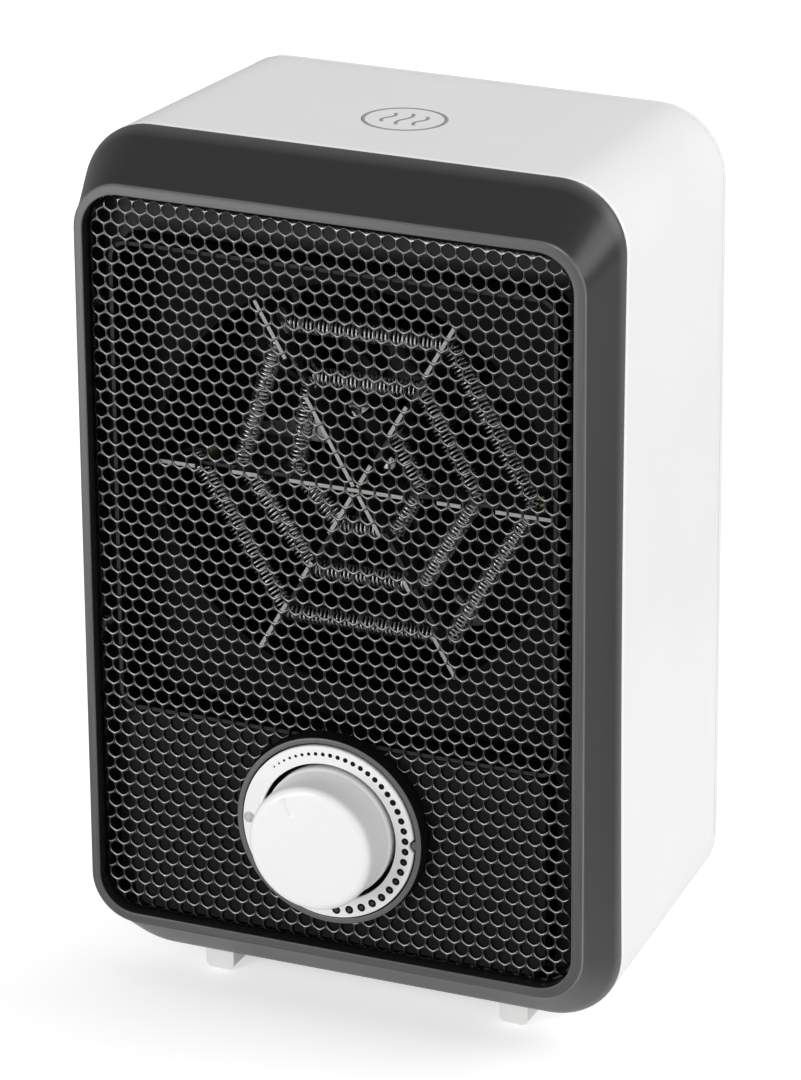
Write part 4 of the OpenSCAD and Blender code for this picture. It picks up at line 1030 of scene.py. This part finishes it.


# Shade disc: a disc of black foam laid on the inside of the rear cover, behind its intake slots, so that
# no light through the slots shows through the grille; its black is painted shade. The foam's skin is
# uneven and full of small open cells.
shade_disc_r, shade_disc_front, shade_disc_back = 53 * mm, 92.25 * mm, 93.5 * mm
shade_disc_ease = 0.3 * mm
shade_disc_loops = np.linspace(0.02, 52.4, 24) * mm
shade_disc_profile = np.vstack([
    [[r, shade_disc_front] for r in shade_disc_loops],
    [[shade_disc_r, shade_disc_front + shade_disc_ease], [shade_disc_r, shade_disc_back - shade_disc_ease]],
    [[r, shade_disc_back] for r in shade_disc_loops[::-1]],
])
shade_disc_grid = turned_grid(*shade_disc_profile.T, 120, z=fan_z)
shade_disc_x, shade_disc_z = shade_disc_grid[..., 0], shade_disc_grid[..., 2] - fan_z
uneven = 0.06 * mm * np.abs(np.sin(shade_disc_x / (2.6 * mm)) * np.cos(shade_disc_z / (3.1 * mm)))
is_front = np.arange(len(shade_disc_profile))[:, None] < len(shade_disc_loops)
shade_disc_grid[..., 1] += np.where(is_front, 1, -0.5) * uneven
# This disc is painted shade: it keeps the rear slots dark when seen through the grille.
slot_shade_disc = surface("slot_shade_disc", shade_disc_grid, closed_v=True)
foam = cell_skin("open foam", "Cell Scale", 1300.0)
black_shade_foam = finish("black foam, painted shade", (0.012, 0.012, 0.012), 0.9, 0.0002, 0.3, group=foam,
                    Specular_IOR_Level=0.1)
dress(slot_shade_disc, black_shade_foam)
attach(slot_shade_disc, "housing")


# Mark on top: a ring round three rising waves, printed in grey on the shell's top, in the middle of
# its depth.
mark_r, mark_line, mark_depth = 10.6 * mm, 1.0 * mm, 50 * mm
wave_apart, wave_swing, wave_line = 4.4 * mm, 0.9 * mm, 0.9 * mm


def on_top(x, depth, proud=0.012 * mm):
    """Points just above the shell's sloping top, at x and at a depth behind the lip."""
    x, depth = np.asarray(x, float), np.asarray(depth, float)
    f = (depth - seam_depth) / (back_depth - seam_depth)
    return np.stack([x, lip_y + depth, shell_high - high_draft * f + proud], axis=-1)


def stroke(name, x, depth, width, closed=False):
    """A printed band of the given width along a line on the shell's top."""
    if closed:
        dx, dy = (np.roll(v, -1) - np.roll(v, 1) for v in (x, depth))
    else:
        dx, dy = np.gradient(x), np.gradient(depth)
    span = np.hypot(dx, dy)
    nx, ny = -dy / span * width / 2, dx / span * width / 2
    grid = np.stack([on_top(x + nx, depth + ny), on_top(x - nx, depth - ny)], axis=0)
    return surface(name, grid, closed_u=closed)


ring_x, ring_z = mark_r * np.cos(around(96)), mark_r * np.sin(around(96))
marks = [stroke("mark_ring", ring_x, mark_depth + ring_z, mark_line, closed=True)]
share = np.linspace(-1, 1, 40)
for k in (-1, 0, 1):
    half_length = (5.6 - 1.2 * abs(k)) * mm
    marks.append(stroke(f"mark_wave_{k + 2}", k * wave_apart + wave_swing * np.sin(share * np.pi),
                        mark_depth + share * half_length, wave_line))
mark_ink = finish("mark ink", (0.3, 0.3, 0.3), 0.5)
for piece in marks:
    printed(piece, mark_ink)
    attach(piece, "housing")


# Studio: a white floor that the camera sees as plain white apart from the heater's soft shadow, and that
# glows near the heater for reflected rays only, a painted reflection on the heater's lower faces; plain
# white surroundings and five soft lamps: behind to the right, front right, above, front left and a small
# low one.
bpy.ops.mesh.primitive_plane_add(size=6.0, location=(0, 0, 0))
floor = bpy.context.object
floor.name = "floor"
floor_material = bpy.data.materials.new("white sweep")
floor_material.use_nodes = True
floor_tree = floor_material.node_tree
sweep = floor_tree.nodes["Principled BSDF"]
set_inputs(sweep, Base_Color=(0.8, 0.8, 0.8, 1), Roughness=1.0, Specular_IOR_Level=0.0,
           Emission_Color=(1, 1, 1, 1))
floor_rays = floor_tree.nodes.new("ShaderNodeLightPath")
floor_place = floor_tree.nodes.new("ShaderNodeTexCoord")
# A glow seen only in reflections, on the floor near the heater: a painted reflection that lightens the
# heater's lower faces.
glow_centre, glow_reach, glow_fade, glow_strength = (-0.03, 0.13, 0), 0.21, 0.03, 0.38
shadow_reach, shadow_white = 0.5, 0.5
from_glow = vector_node(floor_tree, "DISTANCE", floor_place.outputs["Object"], glow_centre)
from_middle = vector_node(floor_tree, "LENGTH", floor_place.outputs["Object"])
floor_inside = math_node(floor_tree, "SUBTRACT", glow_reach, from_glow.outputs["Value"])
floor_near = math_node(floor_tree, "DIVIDE", floor_inside, glow_fade, clamp=True)
floor_glossy = math_node(floor_tree, "MULTIPLY", floor_rays.outputs["Is Glossy Ray"], floor_near)
floor_glow = math_node(floor_tree, "MULTIPLY", floor_glossy, glow_strength)
floor_far = math_node(floor_tree, "SUBTRACT", from_middle.outputs["Value"], shadow_reach, clamp=True)
floor_white = math_node(floor_tree, "ADD", floor_far, shadow_white)
floor_seen = math_node(floor_tree, "MULTIPLY", floor_rays.outputs["Is Camera Ray"], floor_white)
feed(floor_tree, sweep.inputs["Emission Strength"], math_node(floor_tree, "ADD", floor_glow, floor_seen))
dress(floor, floor_material)

world = bpy.data.worlds.new("surroundings")
bpy.context.scene.world = world
world.use_nodes = True
world_tree = world.node_tree
surroundings = world_tree.nodes["Background"]
set_inputs(surroundings, Color=(1, 1, 1, 1), Strength=0.5)
seen = world_tree.nodes.new("ShaderNodeBackground")
set_inputs(seen, Color=(1, 1, 1, 1))
rays = world_tree.nodes.new("ShaderNodeLightPath")
choice = world_tree.nodes.new("ShaderNodeMixShader")
world_tree.links.new(rays.outputs["Is Camera Ray"], choice.inputs["Fac"])
world_tree.links.new(surroundings.outputs["Background"], choice.inputs[1])
world_tree.links.new(seen.outputs["Background"], choice.inputs[2])
world_tree.links.new(choice.outputs["Shader"], world_tree.nodes["World Output"].inputs["Surface"])


def lamp(name, place, aim, size, power):
    """A square area lamp at a place, turned towards aim."""
    light = bpy.data.lights.new(name, "AREA")
    light.shape = "SQUARE"
    light.size = size
    light.energy = power
    lamp_object = add_object(name, light)
    facing = (Vector(place) - Vector(aim)).to_track_quat("Z", "Y").to_matrix().to_4x4()
    lamp_object.matrix_world = Matrix.Translation(place) @ facing
    lamp_object.visible_camera = False


heater_middle = (0, 0, 0.12)
lamp("lamp_right", (1.3, 0.35, 0.85), heater_middle, 0.9, 8.3)
lamp("lamp_side", (1.5, -0.7, 0.5), heater_middle, 0.6, 3)
lamp("lamp_top", (0.3, 0.9, 1.4), heater_middle, 0.6, 4)
lamp("lamp_front", (-0.7, -1.6, 0.85), heater_middle, 0.5, 6.8)
lamp("lamp_low", (-0.27, -0.47, 0.07), (-0.03, -0.04, 0.17), 0.14, 0.65)
bpy.context.scene.view_settings.view_transform = "Standard"
